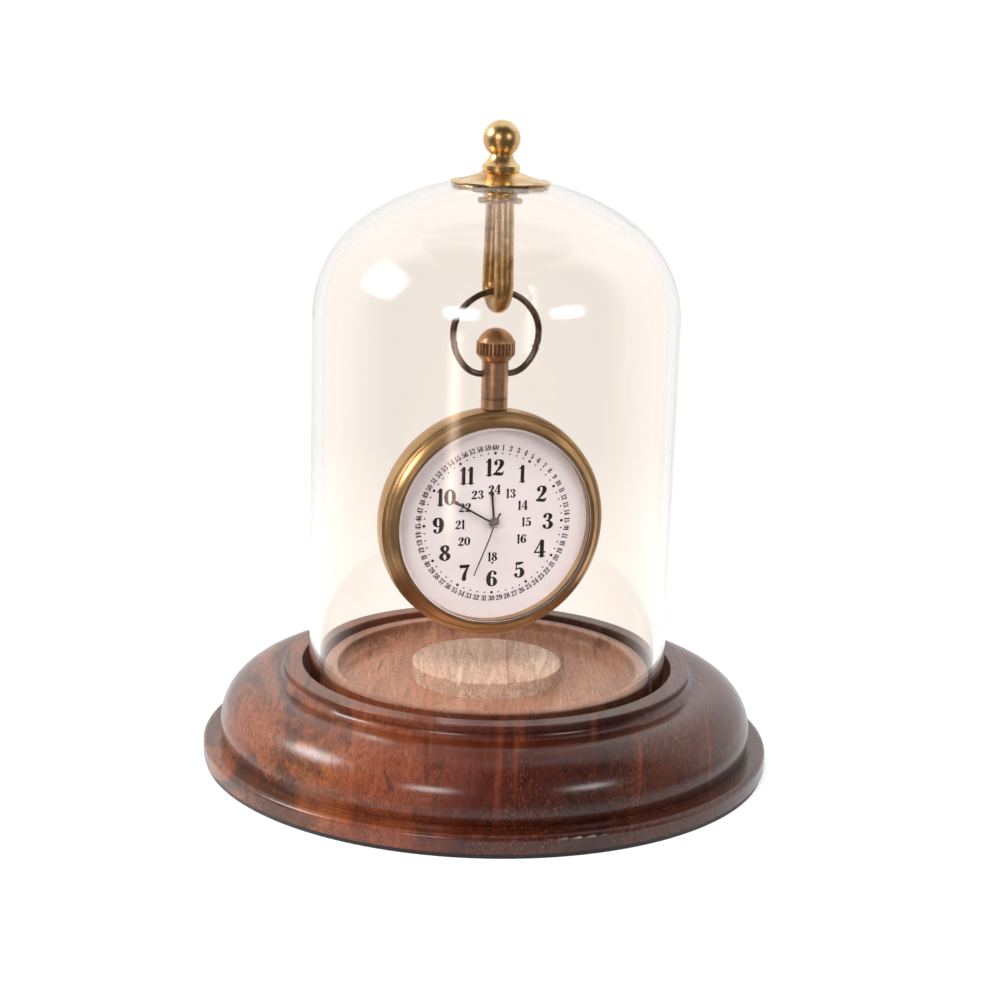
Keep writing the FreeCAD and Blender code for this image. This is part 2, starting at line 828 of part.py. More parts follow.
def make_crown():
    body = new_body("crown")
    neck_foot = crown_foot - s.crown_neck_length
    seal_low = neck_foot + s.seal_rise
    seal_high = seal_low + s.seal_height
    flute_low = crown_foot + s.crown_skirt_height
    flute_high = flute_low + s.crown_flute_height
    stem_top = crown_foot + s.stem_in_crown
    dome_radius = s.crown_radius - s.flute_radius
    turned(body, [
        (s.stem_radius, neck_foot),
        (s.crown_neck_radius, neck_foot),
        (s.crown_neck_radius, seal_low),
        (s.seal_groove_radius, seal_low),
        (s.seal_groove_radius, seal_high),
        (s.crown_neck_radius, seal_high),
        (s.crown_neck_radius, crown_foot),
        (s.crown_foot_radius, crown_foot),
        (s.crown_radius, flute_low),
        (s.crown_radius, flute_high),
        (dome_radius, flute_high + s.flute_radius, s.flute_radius, 1),
        (0, flute_high + s.crown_dome_height,
         bulge(dome_radius, s.crown_dome_height - s.flute_radius), 1),
        (0, stem_top),
        (s.stem_radius, stem_top),
    ])
    flutes = Drawing(body, "XY_Plane", flute_high)
    for number in range(FLUTES):
        angle = as_size(FULL_TURN * number / FLUTES)
        flutes.circle(s.crown_radius * cosine(angle), s.crown_radius * sine(angle), s.flute_radius)
    sunk(body, flutes, s.crown_flute_height + s.overrun)
    hang(body)
    seal_inner = s.seal_groove_radius + s.seal_play
    seal_outer = s.pendant_bore - s.seal_play
    turned_piece("crown_gasket", [
        (seal_inner, seal_low + s.seal_play),
        (seal_outer, seal_low + s.seal_play),
        (seal_outer, seal_high - s.seal_play),
        (seal_inner, seal_high - s.seal_play),
    ], hang)
    stem_foot = hub_height + s.stem_end
    notch = stem_foot + s.stem_notch_rise
    turned_piece("winding_stem", [
        (0, stem_foot),
        (s.stem_radius, stem_foot),
        (s.stem_radius, notch),
        (s.stem_notch_radius, notch),
        (s.stem_notch_radius, notch + s.stem_notch_width),
        (s.stem_radius, notch + s.stem_notch_width),
        (s.stem_radius, stem_top),
        (0, stem_top),
    ], hang)


# Watch case


def make_case():
    half = s.band_half_width
    body = turned_piece("case_band", [
        (cavity_radius, -half),
        (band_edge, -half),
        (band_edge, half, bulge(half, s.case_edge_drop), 1),
        (cavity_radius, half),
    ], face_viewer)
    spigot_hole = Drawing(body, "XZ_Plane").circle(0, 0, s.spigot_radius + s.spigot_play)
    sunk(body, spigot_hole, s.case_radius + s.overrun)
    skirt = cavity_radius - s.bezel_skirt_play
    lip = half + s.bezel_lip
    step = half + s.bezel_step_height
    step_radius = s.case_radius - s.bezel_step_inset
    turned_piece("front_bezel", [
        (skirt, s.dial_height + s.bezel_skirt_play),
        (skirt, half),
        (band_edge, half),
        (band_edge, lip),
        (step_radius, step, s.bezel_first_bulge, 1),
        (step_radius - s.bezel_step_line, step),
        (s.case_radius - s.bezel_ring_inset, bezel_top, s.bezel_main_bulge, 1),
        (bezel_bore, bezel_top),
        (bezel_bore, gasket_seat),
        (bezel_window, gasket_seat),
        (bezel_window, s.dial_height + s.bezel_skirt_play),
    ], face_viewer)
    crystal_radius = bezel_bore - s.crystal_play
    turned_piece("crystal_gasket", [
        (bezel_window, gasket_seat),
        (crystal_radius, gasket_seat),
        (crystal_radius, crystal_foot),
        (bezel_window, crystal_foot),
    ], face_viewer)
    outer_edge = crystal_radius - s.crystal_bevel
    outer_rise = crystal_foot + s.crystal_edge + s.crystal_bevel
    top = crystal_foot + s.crystal_wall + s.crystal_rise
    turned_piece("crystal", [
        (bezel_window, crystal_foot, bulge(bezel_window, s.crystal_rise), -1),
        (crystal_radius, crystal_foot),
        (crystal_radius, crystal_foot + s.crystal_edge),
        (outer_edge, outer_rise),
        (0, top, bulge(outer_edge, top - outer_rise), 1),
        (0, crystal_foot + s.crystal_rise),
    ], face_viewer)
    back_radius = band_edge - s.back_inset
    lip_back = -half - s.back_lip
    back_round = bulge(back_radius, s.back_bulge)
    back_middle = lip_back - s.back_bulge + back_round
    inner_round = back_round - s.back_wall
    spigot_outer = cavity_radius - s.bezel_skirt_play
    spigot_inner = spigot_outer - s.back_spigot_width
    turned_piece("back_cover", [
        (0, lip_back - s.back_bulge),
        (back_radius, lip_back, back_round, 1),
        (back_radius, -half),
        (spigot_outer, -half),
        (spigot_outer, s.back_spigot_height - half),
        (spigot_inner, s.back_spigot_height - half),
        (spigot_inner, back_middle - beside(inner_round, spigot_inner)),
        (0, back_middle - inner_round, inner_round, -1),
    ], face_viewer)


def make_dial():
    radius = cavity_radius - s.dial_play
    turned_piece("dial", [
        (s.dial_hole, dial_back),
        (radius, dial_back),
        (radius, s.dial_height),
        (s.dial_hole, s.dial_height),
    ], face_viewer)
    outer = cavity_radius - s.ring_play
    ring = turned_piece("movement_ring", [
        (s.ring_bore, -s.ring_back),
        (outer, -s.ring_back),
        (outer, dial_back),
        (s.ring_bore, dial_back),
    ], face_viewer)
    sunk(ring, Drawing(ring, "XZ_Plane").circle(0, 0, s.stem_bore), outer + s.overrun)


# Movement: places in the dial's plane are counted from the hub, x to the viewer's right and y up


def at_angle(distance, angle):
    return distance * cosine(angle), distance * sine(angle)


seconds_distance = s.seconds_module * (SECOND_TEETH + TRAIN_LEAVES) / 2
rotor_distance = s.rotor_module * (INTERMEDIATE_TEETH + TRAIN_LEAVES) / 2
third_distance = s.third_module * (THIRD_TEETH + TRAIN_LEAVES) / 2
centre_module = third_distance * 2 / (CENTRE_TEETH + TRAIN_LEAVES)
motion_distance = s.motion_module * (MINUTE_TEETH + CANNON_LEAVES) / 2
hour_module = motion_distance * 2 / (HOUR_TEETH + MINUTE_LEAVES)

third_place = at_angle(third_distance, s.third_angle)
intermediate_place = at_angle(seconds_distance, s.intermediate_angle)
rotor_place = at_angle(seconds_distance + rotor_distance, s.intermediate_angle)
motion_place = at_angle(motion_distance, s.motion_angle)
battery_place = at_angle(s.battery_place, s.battery_angle)
pillar_places = [at_angle(s.bridge_radius * share, as_size(angle)) for share, angle in PILLAR_SHARES]

cannon_bore = s.arbor_radius + s.pipe_play
hour_pipe_bore = s.cannon_radius + s.pipe_play
stator_front = plate_back - s.train_depth / 2 + s.stator_thickness / 2
stator_back = stator_front - s.stator_thickness
core_back = stator_back - s.stator_thickness
foot_places = [(side * (s.core_length - s.core_width) / 2, -s.coil_drop) for side in (-1, 1)]


def make_plates():
    plate = turned_piece("main_plate", [
        (s.cannon_radius + s.pipe_play, plate_back),
        (plate_radius, plate_back),
        (plate_radius, dial_back),
        (plate_radius - s.plate_rim, dial_back),
        (plate_radius - s.plate_rim, s.plate_front),
        (s.cannon_radius + s.pipe_play, s.plate_front),
    ], face_viewer)
    post = Drawing(plate, "XY_Plane", s.plate_front).circle(*motion_place, s.post_radius)
    raised(plate, post, dial_back - s.plate_front - s.shake)
    feet = Drawing(plate, "XY_Plane", plate_back)
    for place in foot_places:
        feet.circle(*place, s.core_width / 2)
    raised(plate, feet, plate_back - stator_front, reverse=True)
    holes = Drawing(plate, "XY_Plane", plate_back)
    for place in (third_place, intermediate_place, rotor_place):
        holes.circle(*place, s.pivot_radius + s.pivot_play)
    for place in pillar_places:
        holes.circle(*place, s.screw_radius + s.screw_play)
    sunk(plate, holes, s.screw_reach + s.pivot_play, reverse=True)
    stem_way = Drawing(plate, "XZ_Plane", -(s.stem_end - s.pivot_length)).circle(0, 0, s.stem_bore)
    sunk(plate, stem_way, s.case_radius)

    bridge = new_body("train_bridge")
    disc = Drawing(bridge, "XY_Plane", bridge_back).circle(0, 0, s.bridge_radius)
    raised(bridge, disc, s.bridge_thickness)
    pillars = Drawing(bridge, "XY_Plane", bridge_front)
    for place in pillar_places:
        pillars.circle(*place, s.pillar_radius)
    raised(bridge, pillars, plate_back - bridge_front)
    notch = Drawing(bridge, "XY_Plane", bridge_front).circle(*battery_place, s.battery_radius + s.battery_play)
    sunk(bridge, notch, s.bridge_thickness + s.overrun)
    pivots = Drawing(bridge, "XY_Plane", bridge_front).circle(0, 0, s.pivot_radius + s.pivot_play)
    for place in (third_place, intermediate_place, rotor_place):
        pivots.circle(*place, s.pivot_radius + s.pivot_play)
    sunk(bridge, pivots, s.pivot_length + s.pivot_play)
    ways = Drawing(bridge, "XY_Plane", plate_back)
    sinks = Drawing(bridge, "XY_Plane", bridge_back)
    for place in pillar_places:
        ways.circle(*place, s.screw_radius + s.screw_play)
        sinks.circle(*place, s.screw_head_radius + s.screw_play)
    sunk(bridge, ways, plate_back - bridge_back + s.overrun)
    sunk(bridge, sinks, s.screw_head_height, reverse=True)
    face_viewer(bridge)
    make_screws()


def make_screws():
    """The bridge's screws: slotted heads sunk in the bridge, shanks through its pillars into the plate."""
    head_back = bridge_back.value
    head_front = head_back + s.screw_head_height.value
    tip = plate_back.value + s.screw_reach.value
    solids = []
    for x, y in pillar_places:
        place = FreeCAD.Vector(x.value, y.value, 0)
        head = Part.makeCylinder(s.screw_head_radius.value, s.screw_head_height.value, place + UP * head_back)
        shank = Part.makeCylinder(s.screw_radius.value, tip - head_front, place + UP * head_front)
        half_slot = FreeCAD.Vector(s.screw_head_radius.value, s.slot_width.value / 2, 0)
        slot = Part.makeBox(2 * half_slot.x, 2 * half_slot.y, s.slot_depth.value,
                            place - half_slot + UP * head_back)
        solids.append(head.fuse(shank).removeSplitter().cut(slot))
    shaped("bridge_screws", Part.makeCompound(solids))


def make_power():
    battery = new_body("battery")
    can = Drawing(battery, "XY_Plane", plate_back).circle(*battery_place, s.battery_radius)
    raised(battery, can, s.battery_thickness, reverse=True)
    face_viewer(battery)

    clamp = new_body("battery_clamp")
    half_width = s.clamp_width / 2
    inner = s.battery_place - s.battery_radius
    outer = s.battery_place + s.battery_radius + s.clamp_gap + s.clamp_leg
    clamp_front = plate_back - s.battery_thickness
    strip = Drawing(clamp, "XY_Plane", clamp_front).box(inner, -half_width, outer, half_width)
    raised(clamp, strip, s.clamp_thickness, reverse=True)
    leg = Drawing(clamp, "XY_Plane", clamp_front).box(outer - s.clamp_leg, -half_width, outer, half_width)
    raised(clamp, leg, s.battery_thickness)
    face_viewer(clamp)
    turn_in_plane(clamp, s.battery_angle)

    circuit = new_body("circuit_block")
    corners = [at_angle(radius, angle) for radius, angle in (
        (s.circuit_inner, s.circuit_start), (s.circuit_outer, s.circuit_start),
        (s.circuit_outer, s.circuit_end), (s.circuit_inner, s.circuit_end))]
    board = Drawing(circuit, "XY_Plane", plate_back).run([
        (*corners[0], s.circuit_inner, -1),
        corners[1],
        (*corners[2], s.circuit_outer, 1),
        corners[3],
    ])
    raised(circuit, board, s.circuit_thickness, reverse=True)
    face_viewer(circuit)

    quartz = new_body("quartz_can")
    middle = plate_back - s.circuit_thickness - s.quartz_radius
    end = Drawing(quartz, "XZ_Plane").circle(s.quartz_place, middle, s.quartz_radius)
    raised(quartz, end, s.quartz_length, both=True)
    face_viewer(quartz)
    turn_in_plane(quartz, s.quartz_angle)


def make_motor():
    core = new_body("coil_core")
    half_length = s.core_length / 2
    half_width = s.core_width / 2
    bar = Drawing(core, "XY_Plane", stator_back).box(
        -half_length, -s.coil_drop - half_width, half_length, -s.coil_drop + half_width)
    raised(core, bar, s.stator_thickness, reverse=True)
    face_viewer(core)

    coil = new_body("coil")
    middle = stator_back - s.stator_thickness / 2
    winding = Drawing(coil, "YZ_Plane").circle(-s.coil_drop, middle, s.coil_radius)
    winding.box(-s.coil_drop - half_width - s.core_play, core_back - s.core_play,
                -s.coil_drop + half_width + s.core_play, stator_back + s.core_play)
    raised(coil, winding, s.coil_length, both=True)
    face_viewer(coil)

    stator = new_body("stator")
    left, right = -half_length, half_length
    bar_low = -s.coil_drop + s.coil_radius + s.core_play
    low = -s.coil_drop - half_width
    foot = half_width * 2
    x, y = rotor_place
    yoke = Drawing(stator, "XY_Plane", stator_back).run([
        (left, low),
        (left + foot, low),
        (left + foot, bar_low),
        (right - foot, bar_low),
        (right - foot, low),
        (right, low),
        (right, bar_low + s.stator_bar),
        (left, bar_low + s.stator_bar),
    ])
    raised(stator, yoke, s.stator_thickness)
    head = Drawing(stator, "XY_Plane", stator_back).circle(x, y, s.stator_head_radius)
    raised(stator, head, s.stator_thickness)
    hole = Drawing(stator, "XY_Plane", stator_front).circle(x, y, s.stator_bore)
    sunk(stator, hole, s.stator_thickness + s.overrun)
    face_viewer(stator)


# Wheels


def toothed(teeth, module, shares, back, thickness, phase):
    """Disc with teeth: each is six points, two on each of the root, pitch and tip circles."""
    pitch_radius = teeth * module / 2
    radii = (pitch_radius - shares["root"] * module, pitch_radius, pitch_radius + shares["tip"] * module)
    steps = list(zip(radii, shares["half_widths"]))
    points = []
    for number in range(teeth):
        middle = phase + 2 * math.pi * number / teeth
        flank = [(radius, -share) for radius, share in steps]
        flank += [(radius, share) for radius, share in steps[::-1]]
        for radius, share in flank:
            angle = middle + share * math.pi * module / radius
            points.append(FreeCAD.Vector(radius * math.cos(angle), radius * math.sin(angle), back))
    face = Part.Face(Part.makePolygon(points + points[:1]))
    return face.extrude(UP * thickness)


def meshed(phase, teeth, direction, other_teeth):
    """Phase of a wheel that meshes with one of this phase, seen from it in this direction."""
    return direction + math.pi + math.pi / other_teeth - (phase - direction) * teeth / other_teeth


def rod(radius, back, front):
    return Part.makeCylinder(radius.value, (front - back).value, UP * back.value)


def joined(solids, bore=None):
    shape = solids[0].multiFuse(solids[1:])
    return shape.cut(bore) if bore else shape


def layer_front(number):
    return plate_back - s.wheel_gap - s.layer_pitch * number


def arbor():
    """Arbor between the bridge and the plate, with a pivot at each end."""
    return [
        rod(s.arbor_radius, bridge_front + s.shake, plate_back - s.shake),
        rod(s.pivot_radius, bridge_front - s.pivot_length, plate_back + s.pivot_length),
    ]


def wheel_and_leaves(number, teeth, module, phase, leaf_module, leaf_phase):
    """Wheel on this layer, with a pinion from its front face across the layer before it."""
    front = layer_front(number)
    thin = s.wheel_thickness.value
    back = front.value - thin
    leaf_length = thin + (s.layer_pitch + s.leaf_overlap).value
    return [
        toothed(teeth, module.value, WHEEL_TOOTH_SHARES, back, thin, phase),
        toothed(TRAIN_LEAVES, leaf_module.value, LEAF_SHARES, back, leaf_length, leaf_phase),
    ]


def make_train():
    toward_third = math.radians(s.third_angle.value)
    toward_intermediate = math.radians(s.intermediate_angle.value)
    toward_motion = math.radians(s.motion_angle.value)
    thin = s.wheel_thickness.value

    second_tip = s.dial_height + s.hand_rise + 2 * s.hand_step + s.hand_thickness
    second = wheel_and_leaves(2, SECOND_TEETH, s.seconds_module, 0, s.third_module, 0)
    second.append(rod(s.arbor_radius, bridge_front + s.shake, second_tip))
    second.append(rod(s.pivot_radius, bridge_front - s.pivot_length, bridge_front + 2 * s.shake))
    shaped("second_wheel", joined(second))

    leaf_phase = meshed(0, SECOND_TEETH, toward_intermediate, TRAIN_LEAVES)
    intermediate = wheel_and_leaves(
        3, INTERMEDIATE_TEETH, s.rotor_module, 0, s.seconds_module, leaf_phase) + arbor()
    shaped("intermediate_wheel", joined(intermediate), intermediate_place)

    wheel_phase = meshed(0, TRAIN_LEAVES, toward_third, THIRD_TEETH)
    third = wheel_and_leaves(1, THIRD_TEETH, s.third_module, wheel_phase, centre_module, 0) + arbor()
    shaped("third_wheel", joined(third), third_place)

    rotor_phase = meshed(0, INTERMEDIATE_TEETH, toward_intermediate, TRAIN_LEAVES)
    leaf_back = (layer_front(3) - s.wheel_thickness - s.leaf_overlap).value
    leaf_length = (s.wheel_thickness + 2 * s.leaf_overlap).value
    magnet_back = stator_back - (s.rotor_thickness - s.stator_thickness) / 2
    rotor = [
        rod(s.rotor_radius, magnet_back, magnet_back + s.rotor_thickness),
        toothed(TRAIN_LEAVES, s.rotor_module.value, LEAF_SHARES, leaf_back, leaf_length, rotor_phase),
    ] + arbor()
    shaped("rotor", joined(rotor), rotor_place)

    centre_phase = meshed(0, TRAIN_LEAVES, toward_third + math.pi, CENTRE_TEETH)
    cannon_tip = s.dial_height + s.hand_rise + s.hand_step + s.hand_thickness
    motion_back = s.plate_front + s.motion_gap
    centre_back = layer_front(0) - s.wheel_thickness
    centre = [
        toothed(CENTRE_TEETH, centre_module.value, WHEEL_TOOTH_SHARES, centre_back.value, thin, centre_phase),
        toothed(CANNON_LEAVES, s.motion_module.value, LEAF_SHARES, motion_back.value, 2 * thin, 0),
        rod(s.cannon_radius, centre_back, cannon_tip),
    ]
    through = rod(cannon_bore, centre_back - s.overrun, cannon_tip + s.overrun)
    shaped("centre_wheel", joined(centre, through))

    minute_phase = meshed(0, CANNON_LEAVES, toward_motion, MINUTE_TEETH)
    pinion_top = motion_back + s.motion_step + 2 * s.wheel_thickness
    minute = [
        toothed(MINUTE_TEETH, s.motion_module.value, WHEEL_TOOTH_SHARES, motion_back.value, thin, minute_phase),
        toothed(MINUTE_LEAVES, hour_module.value, LEAF_SHARES, motion_back.value,
                (pinion_top - motion_back).value, 0),
    ]
    post_bore = rod(s.post_radius + s.pivot_play, s.plate_front, dial_back)
    shaped("minute_wheel", joined(minute, post_bore), motion_place)

    hour_phase = meshed(0, MINUTE_LEAVES, toward_motion + math.pi, HOUR_TEETH)
    hour_back = motion_back + s.motion_step
    hour_tip = s.dial_height + s.hand_rise + s.hand_thickness
    hour = [
        toothed(HOUR_TEETH, hour_module.value, WHEEL_TOOTH_SHARES, hour_back.value, thin, hour_phase),
        rod(s.hour_pipe_radius, hour_back, hour_tip),
    ]
    shaped("hour_wheel", joined(hour, rod(hour_pipe_bore, hour_back - s.overrun, hour_tip + s.overrun)))


# Hands


def blade(drawing, length, width, stem):
    """Slim stem that widens to a lozenge at its tip."""
    start, widest = [length * share for share in BLADE_SHARES]
    drawing.run([
        (-stem / 2, 0),
        (stem / 2, 0),
        (stem / 2, start),
        (width / 2, widest),
        (0, length),
        (-width / 2, widest),
        (-stem / 2, start),
    ])


def make_hands():
    minutes = s.shown_minutes + s.shown_seconds / MINUTES_ROUND
    hours = s.shown_hours + minutes / MINUTES_ROUND
    hands = (
        ("hour_hand", 0, s.hour_hub_radius, s.hour_pipe_radius, hours * (FULL_TURN / HOURS_ROUND)),
        ("minute_hand", 1, s.minute_hub_radius, s.cannon_radius, minutes * (FULL_TURN / MINUTES_ROUND)),
        ("second_hand", 2, s.second_hub_radius, s.arbor_radius, s.shown_seconds * (FULL_TURN / MINUTES_ROUND)),
    )
    for label, step, hub, hole, angle in hands:
        body = new_body(label)
        back = s.dial_height + s.hand_rise + s.hand_step * step
        drawing = Drawing(body, "XY_Plane", back)
        if label == "hour_hand":
            blade(drawing, s.hour_hand_length, s.hour_hand_width, s.hand_stem_width)
        elif label == "minute_hand":
            blade(drawing, s.minute_hand_length, s.minute_hand_width, s.hand_stem_width)
        else:
            half, tip, tail = [
                width / 2 for width in (s.second_hand_width, s.second_tip_width, s.second_tail_width)]
            drawing.run([
                (-tail, -s.second_tail_length),
                (tail, -s.second_tail_length),
                (half, 0),
                (tip, s.second_hand_length),
                (-tip, s.second_hand_length),
                (-half, 0),
            ])
        raised(body, drawing, s.hand_thickness)
        hub_height_above = s.hand_thickness if step < 2 else s.hand_thickness + s.second_cap_height
        raised(body, Drawing(body, "XY_Plane", back).circle(0, 0, hub), hub_height_above)
        sunk(body, Drawing(body, "XY_Plane", back).circle(0, 0, hole), s.hand_thickness, reverse=True)
        face_viewer(body)
        turn_in_plane(body, -angle)


make_base()
make_dome()
make_finial()
make_eye()
make_bow()
make_pendant()
make_crown()
make_case()
make_dial()
make_plates()
make_power()
make_motor()
make_train()
make_hands()
doc.recompute()

# Every object has to be sound, and every cut has to take something away, before anything is written

for item in doc.Objects:
    if "Invalid" in item.State or "Error" in item.State:
        raise RuntimeError("%s is %s" % (item.Label, item.State))
for feature in cuts:
    if feature.Shape.Volume >= feature.BaseFeature.Shape.Volume:
        raise RuntimeError("%s cuts nothing" % feature.Label)
for piece in pieces:
    if piece.Shape.isNull() or not piece.Shape.isValid() or not piece.Shape.Solids:
        raise RuntimeError("%s has no valid solid" % piece.Label)

for piece in pieces:
    piece.Shape.exportStep("parts/%s.step" % piece.Label)
    box = piece.Shape.BoundBox
    print("%-20s %d solid(s) %9.3f mm3  z %.2f to %.2f" % (
        piece.Label, len(piece.Shape.Solids), piece.Shape.Volume, box.ZMin, box.ZMax))
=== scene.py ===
# %% [markdown]
# # A pocket watch under a glass dome
#
# An open-face pocket watch hangs by its bow from a brass eye. The eye's stud goes up through the crown of
# a glass dome and is held by a ball finial, and the dome stands in a groove of a turned wooden base.
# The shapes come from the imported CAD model. This script gives them their finishes, prints the dial, and
# sets up the camera, the light and the floor. Lengths are written in millimetres and turned into metres.

import json
import math

import bpy
import numpy as np
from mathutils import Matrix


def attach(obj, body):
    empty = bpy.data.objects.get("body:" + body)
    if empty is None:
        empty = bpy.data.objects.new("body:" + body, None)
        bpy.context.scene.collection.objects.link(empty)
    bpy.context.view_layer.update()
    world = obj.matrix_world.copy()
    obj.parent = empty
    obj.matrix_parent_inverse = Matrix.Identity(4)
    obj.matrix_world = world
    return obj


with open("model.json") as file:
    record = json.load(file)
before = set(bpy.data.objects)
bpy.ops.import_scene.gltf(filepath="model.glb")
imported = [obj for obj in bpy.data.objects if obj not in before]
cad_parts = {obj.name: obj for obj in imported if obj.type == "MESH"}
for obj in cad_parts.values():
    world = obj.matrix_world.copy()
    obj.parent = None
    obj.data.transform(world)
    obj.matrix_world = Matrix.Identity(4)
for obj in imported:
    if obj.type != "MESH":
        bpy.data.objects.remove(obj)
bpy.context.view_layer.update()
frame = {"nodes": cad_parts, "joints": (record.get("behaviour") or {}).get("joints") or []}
nodes = frame["nodes"]
MM = 0.001

# %% [markdown]
# ## Where things are
#
# Nothing is placed by eye. The hub of the dial is the joint of the seconds hand, and the same joint's axis
# points out of the dial towards the viewer. The base is centred on the world's Z axis, and the heights of
# the watch's parts are read from the boxes of their CAD nodes.

# %% The dial's own axes
seconds_joint = next(joint for joint in frame["joints"] if joint["name"] == "seconds_turn")
hub = np.array(seconds_joint["pos_m"])
out_of_dial = np.array(seconds_joint["axis"])
dial_up = np.array([0.0, 0.0, 1.0])
dial_right = np.cross(dial_up, out_of_dial)
turned_by = math.degrees(math.atan2(dial_right[1], dial_right[0]))
print("hub at", (hub / MM).round(2), "dial turned", round(turned_by, 1), "degrees")


def depth_on_dial(node):
    """How far out of the dial a node reaches: the largest of its points' dot products with the dial's axis."""
    points = np.empty(len(nodes[node].data.vertices) * 3)
    nodes[node].data.vertices.foreach_get("co", points)
    return float(((points.reshape(-1, 3) - hub) @ out_of_dial).max())


def top_of(node):
    """Highest point of a node, in millimetres."""
    return max(corner[2] for corner in nodes[node].bound_box) / MM


# %% [markdown]
# ## The camera
#
# The photograph was taken from a little above the dome, with a short telephoto lens. The frame leans by
# under two degrees, so the camera is rolled by that much. Focal length in pixels divided by the picture's
# width is the same share as the lens divided by the sensor's width.

# %% Camera
IMAGE_WIDTH = 1000
FOCAL_PIXELS = 2178.7
SENSOR_WIDTH = 36.0
CAMERA_PLACE = (1.84, -448.3, 163.7)
LOOK_DOWN = 13.505
LEAN = 1.732

camera_data = bpy.data.cameras.new("camera")
camera_data.sensor_width = SENSOR_WIDTH
camera_data.lens = SENSOR_WIDTH * FOCAL_PIXELS / IMAGE_WIDTH
camera = bpy.data.objects.new("camera", camera_data)
bpy.context.scene.collection.objects.link(camera)
camera.location = [value * MM for value in CAMERA_PLACE]
camera.rotation_euler = (math.radians(90 - LOOK_DOWN), 0, 0)
camera.rotation_euler.rotate_axis("Z", math.radians(LEAN))
bpy.context.scene.camera = camera
bpy.context.scene.view_settings.view_transform = "Standard"
print("lens in mm:", round(camera_data.lens, 2))

# %% [markdown]
# ## How materials are written
#
# A material here is a tree of nodes. One function adds a node with its settings and links, so that a tree
# reads from top to bottom. Colours are written as the hex codes that a picture editor shows, and one
# function turns them into the linear values that the renderer wants. A pattern's size is a real one, in
# millimetres, and a noise texture wants the number of such lumps in a metre.


# %% Colour, the function that adds a node, and a bare material
def colour(code):
    """Linear colour of an sRGB hex code: ((c + 0.055) / 1.055) to the power 2.4, or c / 12.92 when dark."""
    values = np.array([int(code[place:place + 2], 16) / 255 for place in (1, 3, 5)])
    linear = np.where(values > 0.04045, ((values + 0.055) / 1.055) ** 2.4, values / 12.92)
    return (*linear.tolist(), 1.0)


def add(tree, kind, settings=None, links=None, out=0):
    """Adds a node and gives back one of its outputs. A setting is a choice of the node, the value of an input
    or the stops of a colour ramp, as (place, hex code). A link joins an input to another node's output."""
    node = tree.nodes.new("ShaderNode" + kind)
    for name, value in (settings or {}).items():
        if name == "stops":
            elements = node.color_ramp.elements
            while len(elements) < len(value):
                elements.new(0.5)
            for element, (position, code) in zip(elements, value):
                element.position = position
                element.color = colour(code)
        elif isinstance(name, str) and hasattr(node, name):
            setattr(node, name, value)
        else:
            node.inputs[name].default_value = colour(value) if isinstance(value, str) else value
    for name, output in (links or {}).items():
        tree.links.new(output, node.inputs[name])
    return node.outputs[out]


def finish(name, **sockets):
    """A material with one Principled shader. Returns the material, its tree and the shader."""
    material = bpy.data.materials.new(name)
    material.use_nodes = True
    shader = material.node_tree.nodes["Principled BSDF"]
    for socket, value in sockets.items():
        shader.inputs[socket.replace("_", " ")].default_value = value
    return material, material.node_tree, shader


def lumps(size):
    """How many lumps of this size in millimetres lie in a metre: 1 / size in metres."""
    return 1 / (size * MM)


def give(material, *names):
    """Puts a material on CAD nodes, in place of the ones they came with."""
    for name in names:
        nodes[name].data.materials.clear()
        nodes[name].data.materials.append(material)
    print(material.name, "on", *names)


# The Mix node has sockets for each type of data, and these are the numbers of its colour sockets.
COLOUR_MIX = {"data_type": "RGBA"}
COLOUR_TIMES = {"data_type": "RGBA", "blend_type": "MULTIPLY"}
FACTOR, FIRST, SECOND, MIXED = 0, 6, 7, 2

# %% [markdown]
# ## The stage
#
# The photograph is a cut-out on white. The floor and the world send white to the camera, to reflections
# and to what is seen through glass, and give the object a plain, softer light. Near the object the floor
# keeps a share of ordinary white paint, which is what lets the shadow show. The share fades out with
# distance, so that the floor meets the background without a line.

# %% World
SKY_LEVEL = 0.68
WHITE = (1, 1, 1, 1)


def background_seen(tree):
    """1 for a ray from the camera, a reflection or through glass, and 0 for the light on the object."""
    rays = add(tree, "LightPath").node.outputs
    seen = rays["Is Camera Ray"]
    for name in ("Is Glossy Ray", "Is Transmission Ray"):
        seen = add(tree, "Math", {"operation": "MAXIMUM"}, {0: seen, 1: rays[name]})
    return seen


world = bpy.data.worlds.new("studio")
bpy.context.scene.world = world
world.use_nodes = True
tree = world.node_tree
sky = tree.nodes["Background"]
sky.inputs["Color"].default_value = WHITE
level = add(tree, "MapRange", {"To Min": SKY_LEVEL, "To Max": 1.0}, {"Value": background_seen(tree)})
tree.links.new(level, sky.inputs["Strength"])
print("the sky lights the object at", SKY_LEVEL)

# %% Floor
FLOOR_SHARE = 0.3
FLOOR_FADE = (90, 330)
FLOOR_HALF = 4000 * MM

floor_mesh = bpy.data.meshes.new("floor")
floor_mesh.from_pydata([(-FLOOR_HALF, -FLOOR_HALF, 0), (FLOOR_HALF, -FLOOR_HALF, 0),
                        (FLOOR_HALF, FLOOR_HALF, 0), (-FLOOR_HALF, FLOOR_HALF, 0)], [], [(0, 1, 2, 3)])
floor = bpy.data.objects.new("floor", floor_mesh)
bpy.context.scene.collection.objects.link(floor)

